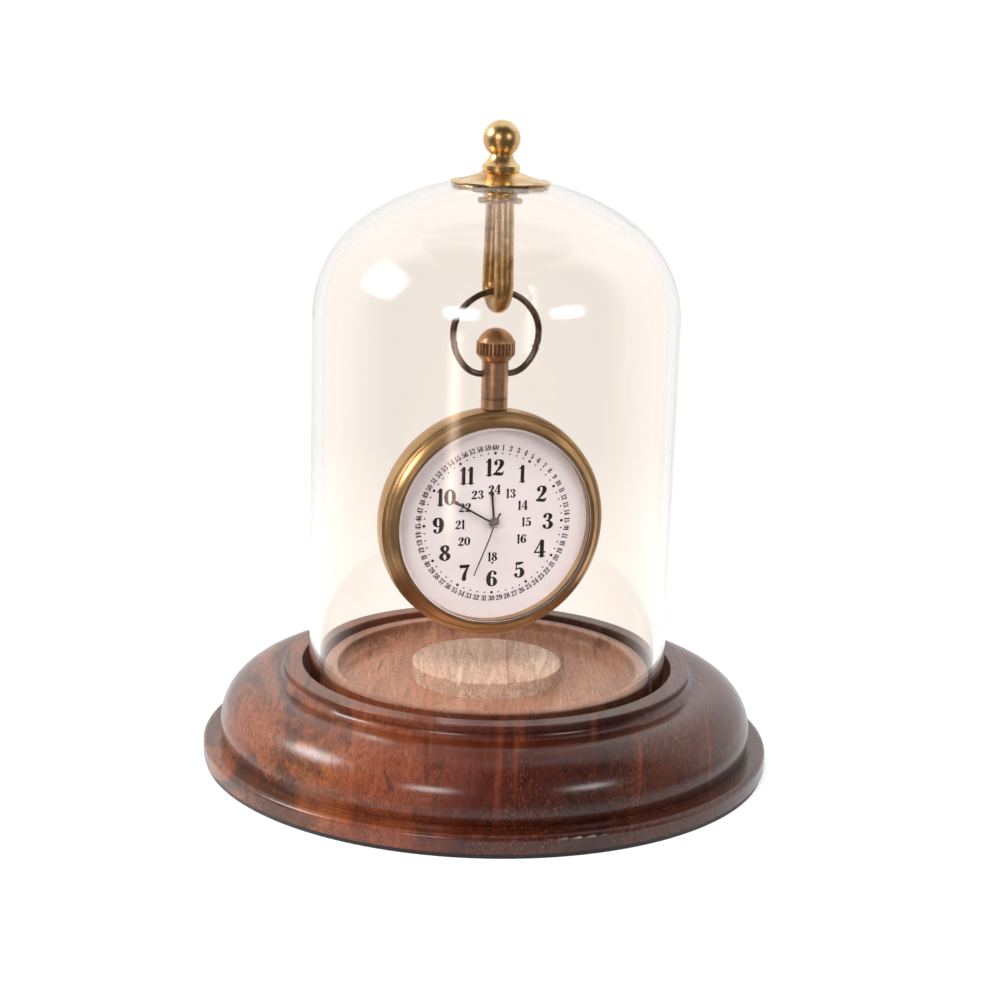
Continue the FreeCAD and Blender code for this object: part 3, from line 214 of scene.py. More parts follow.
# White background paper: it has no shine, so that only the shadow shows on it.
paper, tree, shader = finish("white_paper", Base_Color=colour("#ffffff"), Roughness=0.9, Specular_IOR_Level=0.0)
away = add(tree, "VectorMath", {"operation": "LENGTH"}, {0: add(tree, "TexCoord", out="Object")}, "Value")
near = add(tree, "MapRange", {"From Min": FLOOR_FADE[1] * MM, "From Max": FLOOR_FADE[0] * MM, "To Max": FLOOR_SHARE},
           {"Value": away})
painted = add(tree, "Math", {"operation": "SUBTRACT", 0: 1.0}, {1: near})
white = add(tree, "Math", {"operation": "MULTIPLY"}, {0: background_seen(tree), 1: painted})
glow = add(tree, "Emission", {"Color": WHITE, "Strength": 1.0})
both = add(tree, "MixShader", links={0: white, 1: shader.outputs[0], 2: glow})
tree.links.new(both, tree.nodes["Material Output"].inputs["Surface"])
floor_mesh.materials.append(paper)
print("floor fades to white from", FLOOR_FADE[0], "to", FLOOR_FADE[1], "mm")

# %% [markdown]
# ## The lamps
#
# The highlights in the photograph tell where its lamps stood. Each soft spot on the lacquered moulding and
# its twin on the glass shoulder reflect the same window: one far to the left and high, and two in front,
# left and right of the camera. They are rectangular lamps here, aimed at the watch, bright in the middle
# and fading to their edges as a curtained window does. A large ceiling lamp, which no mirror shows, does
# most of the lighting.

# %% Lamps
KEEP_MEAN = 225 / 64


def lamp(name, azimuth, elevation, distance, width, height, watts, mirrored=True):
    """Area lamp at an azimuth from the viewer's side, clockwise from above, aimed at the watch.
    Its light falls off as (16 u (1 - u) v (1 - v)) squared over its face, times 225 / 64 to keep its mean."""
    data = bpy.data.lights.new(name, "AREA")
    data.shape = "RECTANGLE"
    data.size, data.size_y = width * MM, height * MM
    data.energy = watts
    data.use_nodes = True
    tree = data.node_tree
    face = add(tree, "SeparateXYZ", links={0: add(tree, "TexCoord", out="UV")}).node.outputs
    hills = []
    for side in "XY":
        rest = add(tree, "Math", {"operation": "SUBTRACT", 0: 1.0}, {1: face[side]})
        hill = add(tree, "Math", {"operation": "MULTIPLY"}, {0: face[side], 1: rest})
        hills.append(add(tree, "Math", {"operation": "MULTIPLY", 1: 4.0}, {0: hill}))
    fall = add(tree, "Math", {"operation": "MULTIPLY"}, {0: hills[1], 1: hills[0]})
    fall = add(tree, "Math", {"operation": "POWER", 1: 2.0}, {0: fall})
    fall = add(tree, "Math", {"operation": "MULTIPLY", 1: KEEP_MEAN}, {0: fall})
    tree.links.new(fall, tree.nodes["Emission"].inputs["Strength"])
    lamp_object = bpy.data.objects.new(name, data)
    bpy.context.scene.collection.objects.link(lamp_object)
    turn, rise = math.radians(azimuth), math.radians(elevation)
    way = np.array([math.sin(turn) * math.cos(rise), -math.cos(turn) * math.cos(rise), math.sin(rise)])
    lamp_object.location = np.array([0, 0, hub[2]]) + way * distance * MM
    lamp_object.rotation_euler = (math.pi / 2 - rise, 0, turn)
    lamp_object.visible_glossy = lamp_object.visible_transmission = mirrored
    print(name, "is", width, "x", height, "mm, at", azimuth, elevation, "degrees")


lamp("window_left", azimuth=-86, elevation=32.5, distance=900, width=560, height=440, watts=4.6)
lamp("window_front_left", azimuth=-22, elevation=21, distance=1000, width=460, height=260, watts=2.1)
lamp("window_front_right", azimuth=46, elevation=22, distance=1000, width=480, height=240, watts=1.5)
lamp("ceiling", azimuth=-25, elevation=60, distance=1200, width=900, height=900, watts=15.0, mirrored=False)

# %% [markdown]
# ## The dim side of the room
#
# The rest of the room was dim. A dim room behind the camera, which only mirrored paths can see, keeps the
# varnish deep and the brass brown between the lamps. Reflections of the watch leave through the dome, so
# the room is open to rays through glass as well, but only on paths that were mirrored once (Glossy Depth)
# and not scattered (Diffuse Depth). It takes no light from the object, and the glass stays clear from
# every side. The room is a sheet of points, each on a ray from the watch that stops at the room's wall or
# on the table in front, and it turns white towards its edges. One pale upright streak in it gives the
# glass the streak that the photograph shows.

# %% Shape of the dim room
ROOM_RADIUS = 1700
ROOM_TURN = 112
ROOM_LOW, ROOM_HIGH = -36, 89
ROOM_COLUMNS, ROOM_ROWS = 85, 115
SIDE_FADE, LOW_FADE, HIGH_FADE = 36, 14, 16
STREAK_TURN, STREAK_SPREAD, STREAK_LIGHT = -23.5, 3.4, 4.8
STREAK_FOOT, STREAK_HEAD = (-12.5, -8.5), (-4, 6)
LEAST_FALL = 1e-4


def smooth(value, low, high):
    """3 t^2 - 2 t^3, where t goes from 0 at low to 1 at high."""
    t = np.clip((value - low) / (high - low), 0, 1)
    return t * t * (3 - 2 * t)


# A ray at turn a and rise e points along (sin a cos e, -cos a cos e, sin e). One that points down meets the
# table, a millimetre above the floor, at the hub's height divided by the sine of its fall, and the least
# fall keeps a level ray's sine above zero.
turn, rise = np.meshgrid(np.linspace(-ROOM_TURN, ROOM_TURN, ROOM_COLUMNS), np.linspace(ROOM_LOW, ROOM_HIGH, ROOM_ROWS))
a, e = np.radians(turn), np.radians(rise)
way = np.stack([np.sin(a) * np.cos(e), -np.cos(a) * np.cos(e), np.sin(e)], -1)
to_table = (hub[2] - MM) / np.sin(np.maximum(-e, LEAST_FALL))
room_points = np.array([0, 0, hub[2]]) + way * np.minimum(to_table, ROOM_RADIUS * MM)[..., None]
dim = (smooth(ROOM_TURN - abs(turn), 0, SIDE_FADE) * smooth(rise - ROOM_LOW, 0, LOW_FADE)
       * smooth(ROOM_HIGH - rise, 0, HIGH_FADE))
streak = (np.exp(-((turn - STREAK_TURN) / STREAK_SPREAD) ** 2) * smooth(rise, *STREAK_FOOT)
          * (1 - smooth(rise, *STREAK_HEAD)))
corner = (np.arange(ROOM_ROWS - 1)[:, None] * ROOM_COLUMNS + np.arange(ROOM_COLUMNS - 1)).ravel()
room_faces = np.stack([corner, corner + 1, corner + ROOM_COLUMNS + 1, corner + ROOM_COLUMNS], 1)
room_mesh = bpy.data.meshes.new("dim_room")
room_mesh.from_pydata(room_points.reshape(-1, 3).tolist(), [], room_faces.tolist())
for name, values in (("dim", dim), ("streak", streak * STREAK_LIGHT)):
    room_mesh.attributes.new(name, "FLOAT", "POINT").data.foreach_set("value", values.ravel())
room = bpy.data.objects.new("dim_room", room_mesh)
bpy.context.scene.collection.objects.link(room)
for kind in ("camera", "diffuse", "volume_scatter", "shadow"):
    setattr(room, "visible_" + kind, False)
print("dim room faces:", len(room_faces))

# %% Plaster of the dim room
PLASTER_PATCH = 500
STREAK_STRENGTH = 18.0
SCATTERED_OUT = -100.0

# Plaster in a dim room: a warm grey-brown in slow patches, with no shine of its own.
plaster, tree, shader = finish("dim_plaster", Base_Color=colour("#000000"), Roughness=1.0)
where = add(tree, "TexCoord", out="Object")
patches = add(tree, "TexNoise", {"Scale": lumps(PLASTER_PATCH), "Detail": 2.0}, {"Vector": where})
patches = add(tree, "ValToRGB", {"stops": ((0.3, "#352d28"), (0.7, "#544a42"))}, {"Fac": patches})
shade = add(tree, "Attribute", {"attribute_name": "dim"}, out="Fac")
wall = add(tree, "Mix", {**COLOUR_MIX, FIRST: "#ffffff"}, {FACTOR: shade, SECOND: patches}, MIXED)
tree.links.new(wall, shader.inputs["Emission Color"])
pale = add(tree, "Attribute", {"attribute_name": "streak"}, out="Fac")
strength = add(tree, "MapRange", {"To Min": 1.0, "To Max": STREAK_STRENGTH, "clamp": False}, {"Value": pale})
tree.links.new(strength, shader.inputs["Emission Strength"])
# Glossy Depth less a hundred times Diffuse Depth is over a half only on a path that was mirrored and not
# scattered, and to every other path the room is open air.
path = add(tree, "LightPath").node.outputs
mirrored = add(tree, "Math", {"operation": "MULTIPLY_ADD", 1: SCATTERED_OUT},
               {0: path["Diffuse Depth"], 2: path["Glossy Depth"]})
mirrored = add(tree, "Math", {"operation": "GREATER_THAN", 1: 0.5}, {0: mirrored})
open_air = add(tree, "BsdfTransparent", {"Color": WHITE})
both = add(tree, "MixShader", links={0: mirrored, 1: open_air, 2: shader.outputs[0]})
tree.links.new(both, tree.nodes["Material Output"].inputs["Surface"])
room_mesh.materials.append(plaster)
print("streak at", STREAK_TURN, "degrees, up to", 1 + (STREAK_STRENGTH - 1) * STREAK_LIGHT, "times the wall")

# %% [markdown]
# ## Stained hardwood
#
# The base was turned from one board whose grain runs towards the viewer, then stained. The left flank is
# orange-brown sapwood with smoky streaks, the middle is deep red and the right is greyer. A colour ramp
# from left to right does this, shifted by a slow noise so that the zones' borders wander. On the base the
# ramp is partly painted light: its lighter left end holds the window's light on that flank, and its darker,
# greyer right end holds painted shade and a painted haze of reflection. The sunk floor under the glass has a
# thinner coat, and its colour is paler inside the foot of the glass: partly the duller wood, and partly
# painted light, for a top face lit from above and the glass's painted veil of reflection.

# %% Stain
GRAIN_TURN = math.radians(6)
ALONG_GRAIN = (1, 0.08, 0.5)
WOOD_SPAN = 60
WANDER, WANDER_SHARE = 22, 0.6
ZONE_PLACES = (0.0, 0.27, 0.5, 0.72, 1.0)
FLOOR_EDGE = (33.0, 35.2)
# The sunk floor's pale tone is partly painted light: a top face lit from above and veiled by the glass's reflection.
FLOOR_TONE_AND_LIGHT_SHARE = 0.65
SMOKE, SMOKE_TURN, SMOKE_STRETCH = 10.0, math.radians(-38), (1, 0.28, 1.2)
SMOKE_EDGE = (-14, -40)


# On the base this ramp is partly painted light: lighter on the left flank, where the window's light falls, and darker
# and greyer on the right, as painted shade and a haze of reflection.
def stain(tree, where, zones):
    """Colour by X, from -WOOD_SPAN to WOOD_SPAN, plus a share of a slow noise drawn out along the grain."""
    sideways = add(tree, "SeparateXYZ", links={0: where}, out="X")
    along = add(tree, "Mapping", {"Rotation": (0, 0, GRAIN_TURN), "Scale": ALONG_GRAIN}, {"Vector": where})
    wander = add(tree, "TexNoise", {"Scale": lumps(WANDER), "Detail": 2.0}, {"Vector": along})
    across = add(tree, "MapRange", {"From Min": -WOOD_SPAN * MM, "From Max": WOOD_SPAN * MM, "To Min": -0.3,
                                    "To Max": 0.7}, {"Value": sideways})
    across = add(tree, "Math", {"operation": "MULTIPLY_ADD", 1: WANDER_SHARE}, {0: wander, 2: across})
    return add(tree, "ValToRGB", {"stops": tuple(zip(ZONE_PLACES, zones))}, {"Fac": across})


def sunk_floor(tree, where):
    """A share inside the foot of the glass and 0 outside it, by the distance from the base's axis."""
    place = add(tree, "SeparateXYZ", links={0: where}).node.outputs
    flat = add(tree, "CombineXYZ", links={"X": place["X"], "Y": place["Y"]})
    radius = add(tree, "VectorMath", {"operation": "LENGTH"}, {0: flat}, "Value")
    return add(tree, "MapRange", {"From Min": FLOOR_EDGE[1] * MM, "From Max": FLOOR_EDGE[0] * MM,
                                  "To Max": FLOOR_TONE_AND_LIGHT_SHARE}, {"Value": radius})


def smoke_on_flank(tree, where):
    """Smoky streaks across the grain, on the left flank alone."""
    sideways = add(tree, "SeparateXYZ", links={0: where}, out="X")
    left = add(tree, "MapRange", {"From Min": SMOKE_EDGE[0] * MM, "From Max": SMOKE_EDGE[1] * MM},
               {"Value": sideways})
    slanting = add(tree, "Mapping", {"Rotation": (0, 0, SMOKE_TURN), "Scale": SMOKE_STRETCH}, {"Vector": where})
    smoke = add(tree, "TexNoise", {"Scale": lumps(SMOKE), "Detail": 4.0, "Roughness": 0.62, "Distortion": 0.8},
                {"Vector": slanting})
    smoke = add(tree, "MapRange", {"From Min": 0.47, "From Max": 0.56, "To Max": 0.78}, {"Value": smoke})
    return add(tree, "Math", {"operation": "MULTIPLY"}, {0: smoke, 1: left})


print("stain changes over", 2 * WOOD_SPAN, "mm, and the pale floor ends at", FLOOR_EDGE[1], "mm")

# %% [markdown]
# ## Grain, pores and lacquer
#
# Growth lines are long along the grain, so they stand upright on the front of the moulding. Pores are
# darker dashes, with golden ones between them, and a few pale streaks run along the board. Real pores are
# about a tenth of a millimetre wide, too fine for the picture, so they are drawn over twice as wide. The
# satin lacquer is the shader's coat, and the pores dent the wood under it.

# %% Hardwood
GROWTH_LINE = 3.2
PORE, PORE_STRETCH, PORE_DEPTH = 0.27, (1, 0.16, 0.4), 0.02
SPECK_PATCH = 9
PALE_STREAK, STREAK_STRETCH = 2.6, (1, 0.06, 0.06)
GRAIN_STOPS = (0.32, "#8a726a"), (0.46, "#f0e6e2"), (0.56, "#c8b6b0"), (0.68, "#ffffff")


def lacquered_wood(name, zones, floor_tone_and_light, smoke_colour, coat):
    """Stain, partly painted side light on the base, then the floor's tone, partly painted light from above, growth
    lines, smoke, pores, golden specks and pale streaks, one over another.
    """
    wood, tree, shader = finish(name, Roughness=0.42, Coat_Weight=coat, Coat_Roughness=0.165, Specular_IOR_Level=0.2)
    where = add(tree, "TexCoord", out="Object")
    inside = sunk_floor(tree, where)
    body = stain(tree, where, zones)
    # Painted light on the floor under the glass: its paler tone stands partly for the light from above and the glass's
    # veil.
    body = add(tree, "Mix", {**COLOUR_MIX, SECOND: floor_tone_and_light}, {FACTOR: inside, FIRST: body}, MIXED)

    along = add(tree, "Mapping", {"Rotation": (0, 0, GRAIN_TURN), "Scale": ALONG_GRAIN}, {"Vector": where})
    lines = add(tree, "TexNoise", {"Scale": lumps(GROWTH_LINE), "Detail": 3.0, "Roughness": 0.6, "Distortion": 0.8},
                {"Vector": along})
    lines = add(tree, "ValToRGB", {"stops": GRAIN_STOPS}, {"Fac": lines})
    body = add(tree, "Mix", {**COLOUR_TIMES, FACTOR: 0.8}, {FIRST: body, SECOND: lines}, MIXED)
    smoke = smoke_on_flank(tree, where)
    body = add(tree, "Mix", {**COLOUR_MIX, SECOND: smoke_colour}, {FACTOR: smoke, FIRST: body}, MIXED)

    dashes = add(tree, "Mapping", {"Rotation": (0, 0, GRAIN_TURN), "Scale": PORE_STRETCH}, {"Vector": where})
    pores = add(tree, "TexNoise", {"Scale": lumps(PORE), "Detail": 3.0, "Roughness": 0.6}, {"Vector": dashes})
    dark = add(tree, "ValToRGB", {"stops": ((0.3, "#7d6861"), (0.48, "#ffffff"))}, {"Fac": pores})
    body = add(tree, "Mix", {**COLOUR_TIMES, FACTOR: 0.75}, {FIRST: body, SECOND: dark}, MIXED)

    patches = add(tree, "TexNoise", {"Scale": lumps(SPECK_PATCH), "Detail": 2.0}, {"Vector": along})
    patches = add(tree, "MapRange", {"From Min": 0.42, "From Max": 0.62, "To Max": 0.22}, {"Value": patches})
    specks = add(tree, "MapRange", {"From Min": 0.54, "From Max": 0.7}, {"Value": pores})
    specks = add(tree, "Math", {"operation": "MULTIPLY"}, {0: specks, 1: patches})
    body = add(tree, "Mix", {**COLOUR_MIX, SECOND: "#b5693c"}, {FACTOR: specks, FIRST: body}, MIXED)

    board = add(tree, "Mapping", {"Rotation": (0, 0, GRAIN_TURN), "Scale": STREAK_STRETCH}, {"Vector": where})
    pale = add(tree, "TexNoise", {"Scale": lumps(PALE_STREAK), "Detail": 2.0}, {"Vector": board})
    pale = add(tree, "MapRange", {"From Min": 0.6, "From Max": 0.74, "To Max": 0.2}, {"Value": pale})
    body = add(tree, "Mix", {**COLOUR_MIX, SECOND: "#9c4a26"}, {FACTOR: pale, FIRST: body}, MIXED)
    tree.links.new(body, shader.inputs["Base Color"])

    if coat:
        thinner = add(tree, "MapRange", {"To Min": coat, "To Max": 0.0}, {"Value": inside})
        tree.links.new(thinner, shader.inputs["Coat Weight"])
    dents = add(tree, "Bump", {"Strength": 0.3, "Distance": PORE_DEPTH * MM}, {"Height": pores})
    tree.links.new(dents, shader.inputs["Normal"])
    return wood


# A red-brown stain under satin lacquer is deep, with soft lamp spots. On the base its zones are partly
# painted light: lighter on the left where the window lights it, and darker and greyer on the right as painted
# shade and a haze of reflection. The disc is bare wood, and looks pale and dry.
BASE_ZONES_AND_SIDE_LIGHT = ("#875736", "#72371d", "#431407", "#2f1109", "#4b261b")
DISC_ZONES = ("#b99982", "#c3a490", "#bda18f", "#b89e90", "#bca89c")
# The second colour passed to each wood is its floor's tone, partly painted light from above.
give(lacquered_wood("stained_hardwood", BASE_ZONES_AND_SIDE_LIGHT, "#bd947d", "#2f1d16", coat=0.6), "turned_base")
give(lacquered_wood("pale_hardwood", DISC_ZONES, "#c8b6a7", "#a08676", coat=0.0), "centre_disc")

# %% [markdown]
# ## Glass
#
# Clear soda glass has an IOR of 1.5, no roughness and a very faint tint. The renderer can't send a lamp's
# light through it without noise, so for shadow rays alone the material turns into a transparent one, and
# the watch inside is lit as if the glass were hardly there. The watch's crystal hardly shines in the
# photograph, so that the ink stays black, and it gets a low specular level. The dome's is lowered as well,
# because the highlights on it are soft in the photograph.


# %% Glass materials
def clear_glass(name, tint, shade, shine):
    """Refracting glass to every ray but a shadow ray, and for that one a clear sheet of the shade's colour."""
    glass, tree, shader = finish(name, Base_Color=colour(tint), Roughness=0.0, IOR=1.5, Transmission_Weight=1.0,
                                 Specular_IOR_Level=shine)
    shadow_ray = add(tree, "LightPath", out="Is Shadow Ray")
    through = add(tree, "BsdfTransparent", {"Color": shade})
    both = add(tree, "MixShader", links={0: shadow_ray, 1: shader.outputs[0], 2: through})
    tree.links.new(both, tree.nodes["Material Output"].inputs["Surface"])
    return glass


# Blown soda glass: clear, a little warm where the eye looks through both walls. The crystal is a thin
# pressed one, and nearly colourless.
give(clear_glass("dome_glass", "#fffaf5", "#fdfcfa", shine=0.17), "glass_dome")
give(clear_glass("crystal_glass", "#fefefe", "#fdfdfd", shine=0.1), "crystal")

# %% [markdown]
# ## Tool lines and painted shade in the grooves of brass
#
# Turned pieces keep the tool's fine lines: rings about the dial's hub on the case, and rings about the
# upright axis on the finial and the pendant tube. A noise texture draws rings when it reads a vector in
# which only the distance from the axis, or only the height, changes. The crown's flutes and the line turned
# in the pendant tube get a mask of their own, which paints a browner colour into these grooves as their shade.


# %% Where the tool went
def rings_about_hub(tree):
    """The vector (distance from the hub in the dial's plane, height out of the dial, 0). The part of a place
    along the dial's axis is its dot product with the axis, and what remains lies in the plane."""
    where = add(tree, "TexCoord", out="Object")
    from_hub = add(tree, "VectorMath", {"operation": "SUBTRACT", 1: hub.tolist()}, {0: where})
    height = add(tree, "VectorMath", {"operation": "DOT_PRODUCT", 1: out_of_dial.tolist()}, {0: from_hub}, "Value")
    above = add(tree, "VectorMath", {"operation": "SCALE", 0: out_of_dial.tolist()}, {"Scale": height})
    in_plane = add(tree, "VectorMath", {"operation": "SUBTRACT"}, {0: from_hub, 1: above})
    radius = add(tree, "VectorMath", {"operation": "LENGTH"}, {0: in_plane}, "Value")
    return add(tree, "CombineXYZ", links={"X": radius, "Y": height})


def rings_about_axis(tree):
    """The place with its X and Y shrunk to a fiftieth, so that a noise changes with height alone."""
    where = add(tree, "TexCoord", out="Object")
    return add(tree, "Mapping", {"Scale": (0.02, 0.02, 1)}, {"Vector": where})


# A mask changes from 0 to 1 within this many millimetres on each side of its edge.
EDGE = 0.05


# Masks that paint shade into grooves.
def dirt_inside(radius, low, high):
    """Returns a mask maker: 1 closer to the upright axis through the hub than this radius, between two heights."""
    def mask(tree):
        where = add(tree, "TexCoord", out="Object")
        level = add(tree, "SeparateXYZ", links={0: where}, out="Z")
        from_hub = add(tree, "VectorMath", {"operation": "SUBTRACT", 1: hub.tolist()}, {0: where})
        flat = add(tree, "VectorMath", {"operation": "MULTIPLY", 1: (1, 1, 0)}, {0: from_hub})
        reach = add(tree, "VectorMath", {"operation": "LENGTH"}, {0: flat}, "Value")
        result = add(tree, "MapRange", {"From Min": (radius + EDGE) * MM, "From Max": (radius - EDGE) * MM},
                     {"Value": reach})
        for start, end in ((low - 2 * EDGE, low + 2 * EDGE), (high + 2 * EDGE, high - 2 * EDGE)):
            part = add(tree, "MapRange", {"From Min": start * MM, "From Max": end * MM}, {"Value": level})
            result = add(tree, "Math", {"operation": "MULTIPLY"}, {0: result, 1: part})
        return result
    return mask


# How far the metal without painted shade starts from the axis, and the grooves' ends below the top of their piece.
FLUTE_REACH, FLUTE_END, FLUTE_START = 3.95, 5.3, 2.8
LINE_REACH, LINE_END, LINE_START = 2.74, 20, 1
crown_top, tube_top = top_of("crown"), top_of("pendant_tube")
flute_grooves = dirt_inside(FLUTE_REACH, crown_top - FLUTE_END, crown_top - FLUTE_START)
tube_line = dirt_inside(LINE_REACH, tube_top - LINE_END, tube_top - LINE_START)
print("crown's top at", round(crown_top, 2), "mm, tube's top at", round(tube_top, 2), "mm")

# %% [markdown]
# ## Aged brass
#
# The fittings are cast and turned brass that has been left to tarnish and then rubbed. Three colours of
# the same metal meet in soft patches: bright where it was rubbed, a warm middle tone, and a browner, rougher
# one where the tarnish stayed. Real tool lines are finer than the picture can show, so they are drawn 0.12
# to 0.2 mm apart.

# %% Metals
SMOOTHER, ROUGHER = 0.02, 0.08
LINE_SHARE = 0.35
# A browner colour that paints shade into the grooves.
GROOVE_SHADE = "#86634a"


def aged_metal(name, bright, middle, tarnish, roughness, patch, turned_lines=None, line=0.12, dents=0.006, groove_shade=None):
    """Patches of three tones, painted shade in grooves where its mask says, and fine lines that darken the metal and
    dent it.
    """
    metal, tree, shader = finish(name, Metallic=1.0)
    where = add(tree, "TexCoord", out="Object")
    clouds = add(tree, "TexNoise", {"Scale": lumps(patch), "Detail": 2.5}, {"Vector": where})
    body = add(tree, "ValToRGB", {"stops": ((0.28, tarnish), (0.5, middle), (0.72, bright))}, {"Fac": clouds})
    rough = add(tree, "MapRange", {"From Min": 0.3, "From Max": 0.7, "To Min": roughness + ROUGHER,
                                   "To Max": roughness - SMOOTHER}, {"Value": clouds})
    # Painted shade: the grooves get the browner colour where the mask says.
    if groove_shade:
        body = add(tree, "Mix", {**COLOUR_MIX, SECOND: GROOVE_SHADE}, {FACTOR: groove_shade(tree), FIRST: body}, MIXED)
    fine = add(tree, "TexNoise", {"Scale": lumps(line), "Detail": 3.0, "Roughness": 0.6},
               {"Vector": turned_lines(tree) if turned_lines else where})
    darker = add(tree, "ValToRGB", {"stops": ((0.35, "#a0968c"), (0.6, "#ffffff"))}, {"Fac": fine})
    body = add(tree, "Mix", {**COLOUR_TIMES, FACTOR: LINE_SHARE}, {FIRST: body, SECOND: darker}, MIXED)
    tree.links.new(body, shader.inputs["Base Color"])
    tree.links.new(rough, shader.inputs["Roughness"])
    marks = add(tree, "Bump", {"Strength": 0.4, "Distance": dents * MM}, {"Height": fine})
    tree.links.new(marks, shader.inputs["Normal"])
    return metal


# Turned brass, polished and then rubbed by hands: gold, with a clear view of the lamps.
finial_brass = aged_metal("rubbed_brass", "#ffdea6", "#f0ca8f", "#c99c64", 0.27, 5.0, rings_about_axis)
give(finial_brass, "finial_knob", "cap_disc")

# Drawn brass wire left to tarnish: blotchy, and darker than the finial.
eye_brass = aged_metal("tarnished_brass", "#e9c48a", "#caa16b", "#936f44", 0.3, 3.0, dents=0.008)
give(eye_brass, "hanging_eye", "jam_nut")

# Spun brass with a lacquer gone brown: even, in large soft patches, with rings about the dial.
case_brass = aged_metal("spun_brass", "#d8b283", "#bc986a", "#957753", 0.34, 16.0, rings_about_hub)
give(case_brass, "case_band", "front_bezel", "back_cover")

# Brass brushed round a tube: a pinkish tone, a sheen along the tube, and painted shade in its turned line.
tube_brass = aged_metal("brushed_brass", "#e2b695", "#cca284", "#a98469", 0.36, 4.0, rings_about_axis, 0.2, 0.008,
                        tube_line)
give(tube_brass, "pendant_tube")

# Brass with more copper in it, milled and tumbled smooth: reddish, with a brown painted shade in the flutes.
crown_brass = aged_metal("coppery_brass", "#eabc90", "#d3a37b", "#ac8260", 0.32, 3.0, dents=0.003, groove_shade=flute_grooves)
give(crown_brass, "crown")

# Steel wire, browned and worn: a dark grey-brown, lighter where it is rubbed.
bow_metal = aged_metal("darkened_wire", "#998a7f", "#75665c", "#50433b", 0.28, 2.4)
give(bow_metal, "bow")

# %% [markdown]
# ## The movement
#
# Nothing of the movement shows in the photograph, so its pieces get the finishes that such a movement has:
# machined brass plates and wheels, satin steel, a copper winding, and moulded plastic. The same builder of
# metals serves them, with cleaner colours.


# %% Movement materials
def moulded(name, light, dark, roughness):
    """Plastic out of a mould: two close tones in grains of half a millimetre, and a skin that dents as they do."""
    plastic, tree, shader = finish(name, Roughness=roughness)
    where = add(tree, "TexCoord", out="Object")
    skin = add(tree, "TexNoise", {"Scale": lumps(0.5), "Detail": 3.0}, {"Vector": where})
    tones = add(tree, "ValToRGB", {"stops": ((0.3, dark), (0.7, light))}, {"Fac": skin})
    tree.links.new(tones, shader.inputs["Base Color"])
    dents = add(tree, "Bump", {"Strength": 0.4, "Distance": 0.005 * MM}, {"Height": skin})
    tree.links.new(dents, shader.inputs["Normal"])
    return plastic


# Milled brass, unlacquered: light yellow, with rings left by the cutter.
plate_brass = aged_metal("machined_brass", "#d8bd7c", "#cbae6c", "#b39457", 0.25, 3.0, rings_about_hub, 0.08)
give(plate_brass, "main_plate", "train_bridge", "second_wheel", "third_wheel", "centre_wheel", "minute_wheel",
     "hour_wheel")

# Satin steel: a cool even grey. Enamelled copper wire: orange under a clear skin.
steel = aged_metal("satin_steel", "#b9b9bb", "#a9a9ac", "#8f8f93", 0.28, 3.0)
give(steel, "bridge_screws", "coil_core", "stator", "quartz_can", "battery", "battery_clamp", "winding_stem", "rotor")
give(aged_metal("enamelled_copper", "#b5633a", "#a4552f", "#7f3d20", 0.3, 1.0, line=0.08), "coil")

# Moulded nylon, milky and satin. Glass-fibre circuit board, green under its solder mask.
give(moulded("natural_plastic", "#dcdcd6", "#cfcfc8", 0.5), "movement_ring", "intermediate_wheel")
give(moulded("green_board", "#3f6b4c", "#335a40", 0.45), "circuit_block")

# %% [markdown]
# ## Dial and hands
#
# The dial is a brass disc painted a cool white. The hands are blackened, with bare grey hubs, so one
# material serves both and changes with the distance from the hub.

# %% Dial paint and hand paint
HUB_RADIUS = 1.2

# Sprayed enamel on the dial: an even, slightly lilac white with a soft sheen.
paint, tree, shader = finish("white_dial_paint", Roughness=0.5)
where = add(tree, "TexCoord", out="Object")
grains = add(tree, "TexNoise", {"Scale": lumps(4.0), "Detail": 3.0}, {"Vector": where})
tones = add(tree, "ValToRGB", {"stops": ((0.3, "#eae3ec"), (0.7, "#eee8f0"))}, {"Fac": grains})
tree.links.new(tones, shader.inputs["Base Color"])
give(paint, "dial")

# Black paint on stamped steel hands: nearly matt, and worn to grey metal at the hub.
hand_paint, tree, shader = finish("black_hand_paint", Roughness=0.35, Specular_IOR_Level=0.25)
where = add(tree, "TexCoord", out="Object")
grains = add(tree, "TexNoise", {"Scale": lumps(0.5), "Detail": 2.0}, {"Vector": where})
black = add(tree, "ValToRGB", {"stops": ((0.3, "#1f1d1e"), (0.7, "#2c2a2b"))}, {"Fac": grains})
ring = add(tree, "SeparateXYZ", links={0: rings_about_hub(tree)}, out="X")
bare = add(tree, "MapRange", {"From Min": (HUB_RADIUS + EDGE) * MM, "From Max": (HUB_RADIUS - EDGE) * MM},
           {"Value": ring})
body = add(tree, "Mix", {**COLOUR_MIX, SECOND: "#6d6a69"}, {FACTOR: bare, FIRST: black}, MIXED)
tree.links.new(body, shader.inputs["Base Color"])
give(hand_paint, "hour_hand", "minute_hand", "second_hand")

# %% [markdown]
# ## Seals and pad
#
# Rubber rings sit under the crystal's edge, on the winding stem and under the cap disc, and a silicone
# grommet lines the dome's hole, so that brass doesn't press on glass. The base stands on black felt.


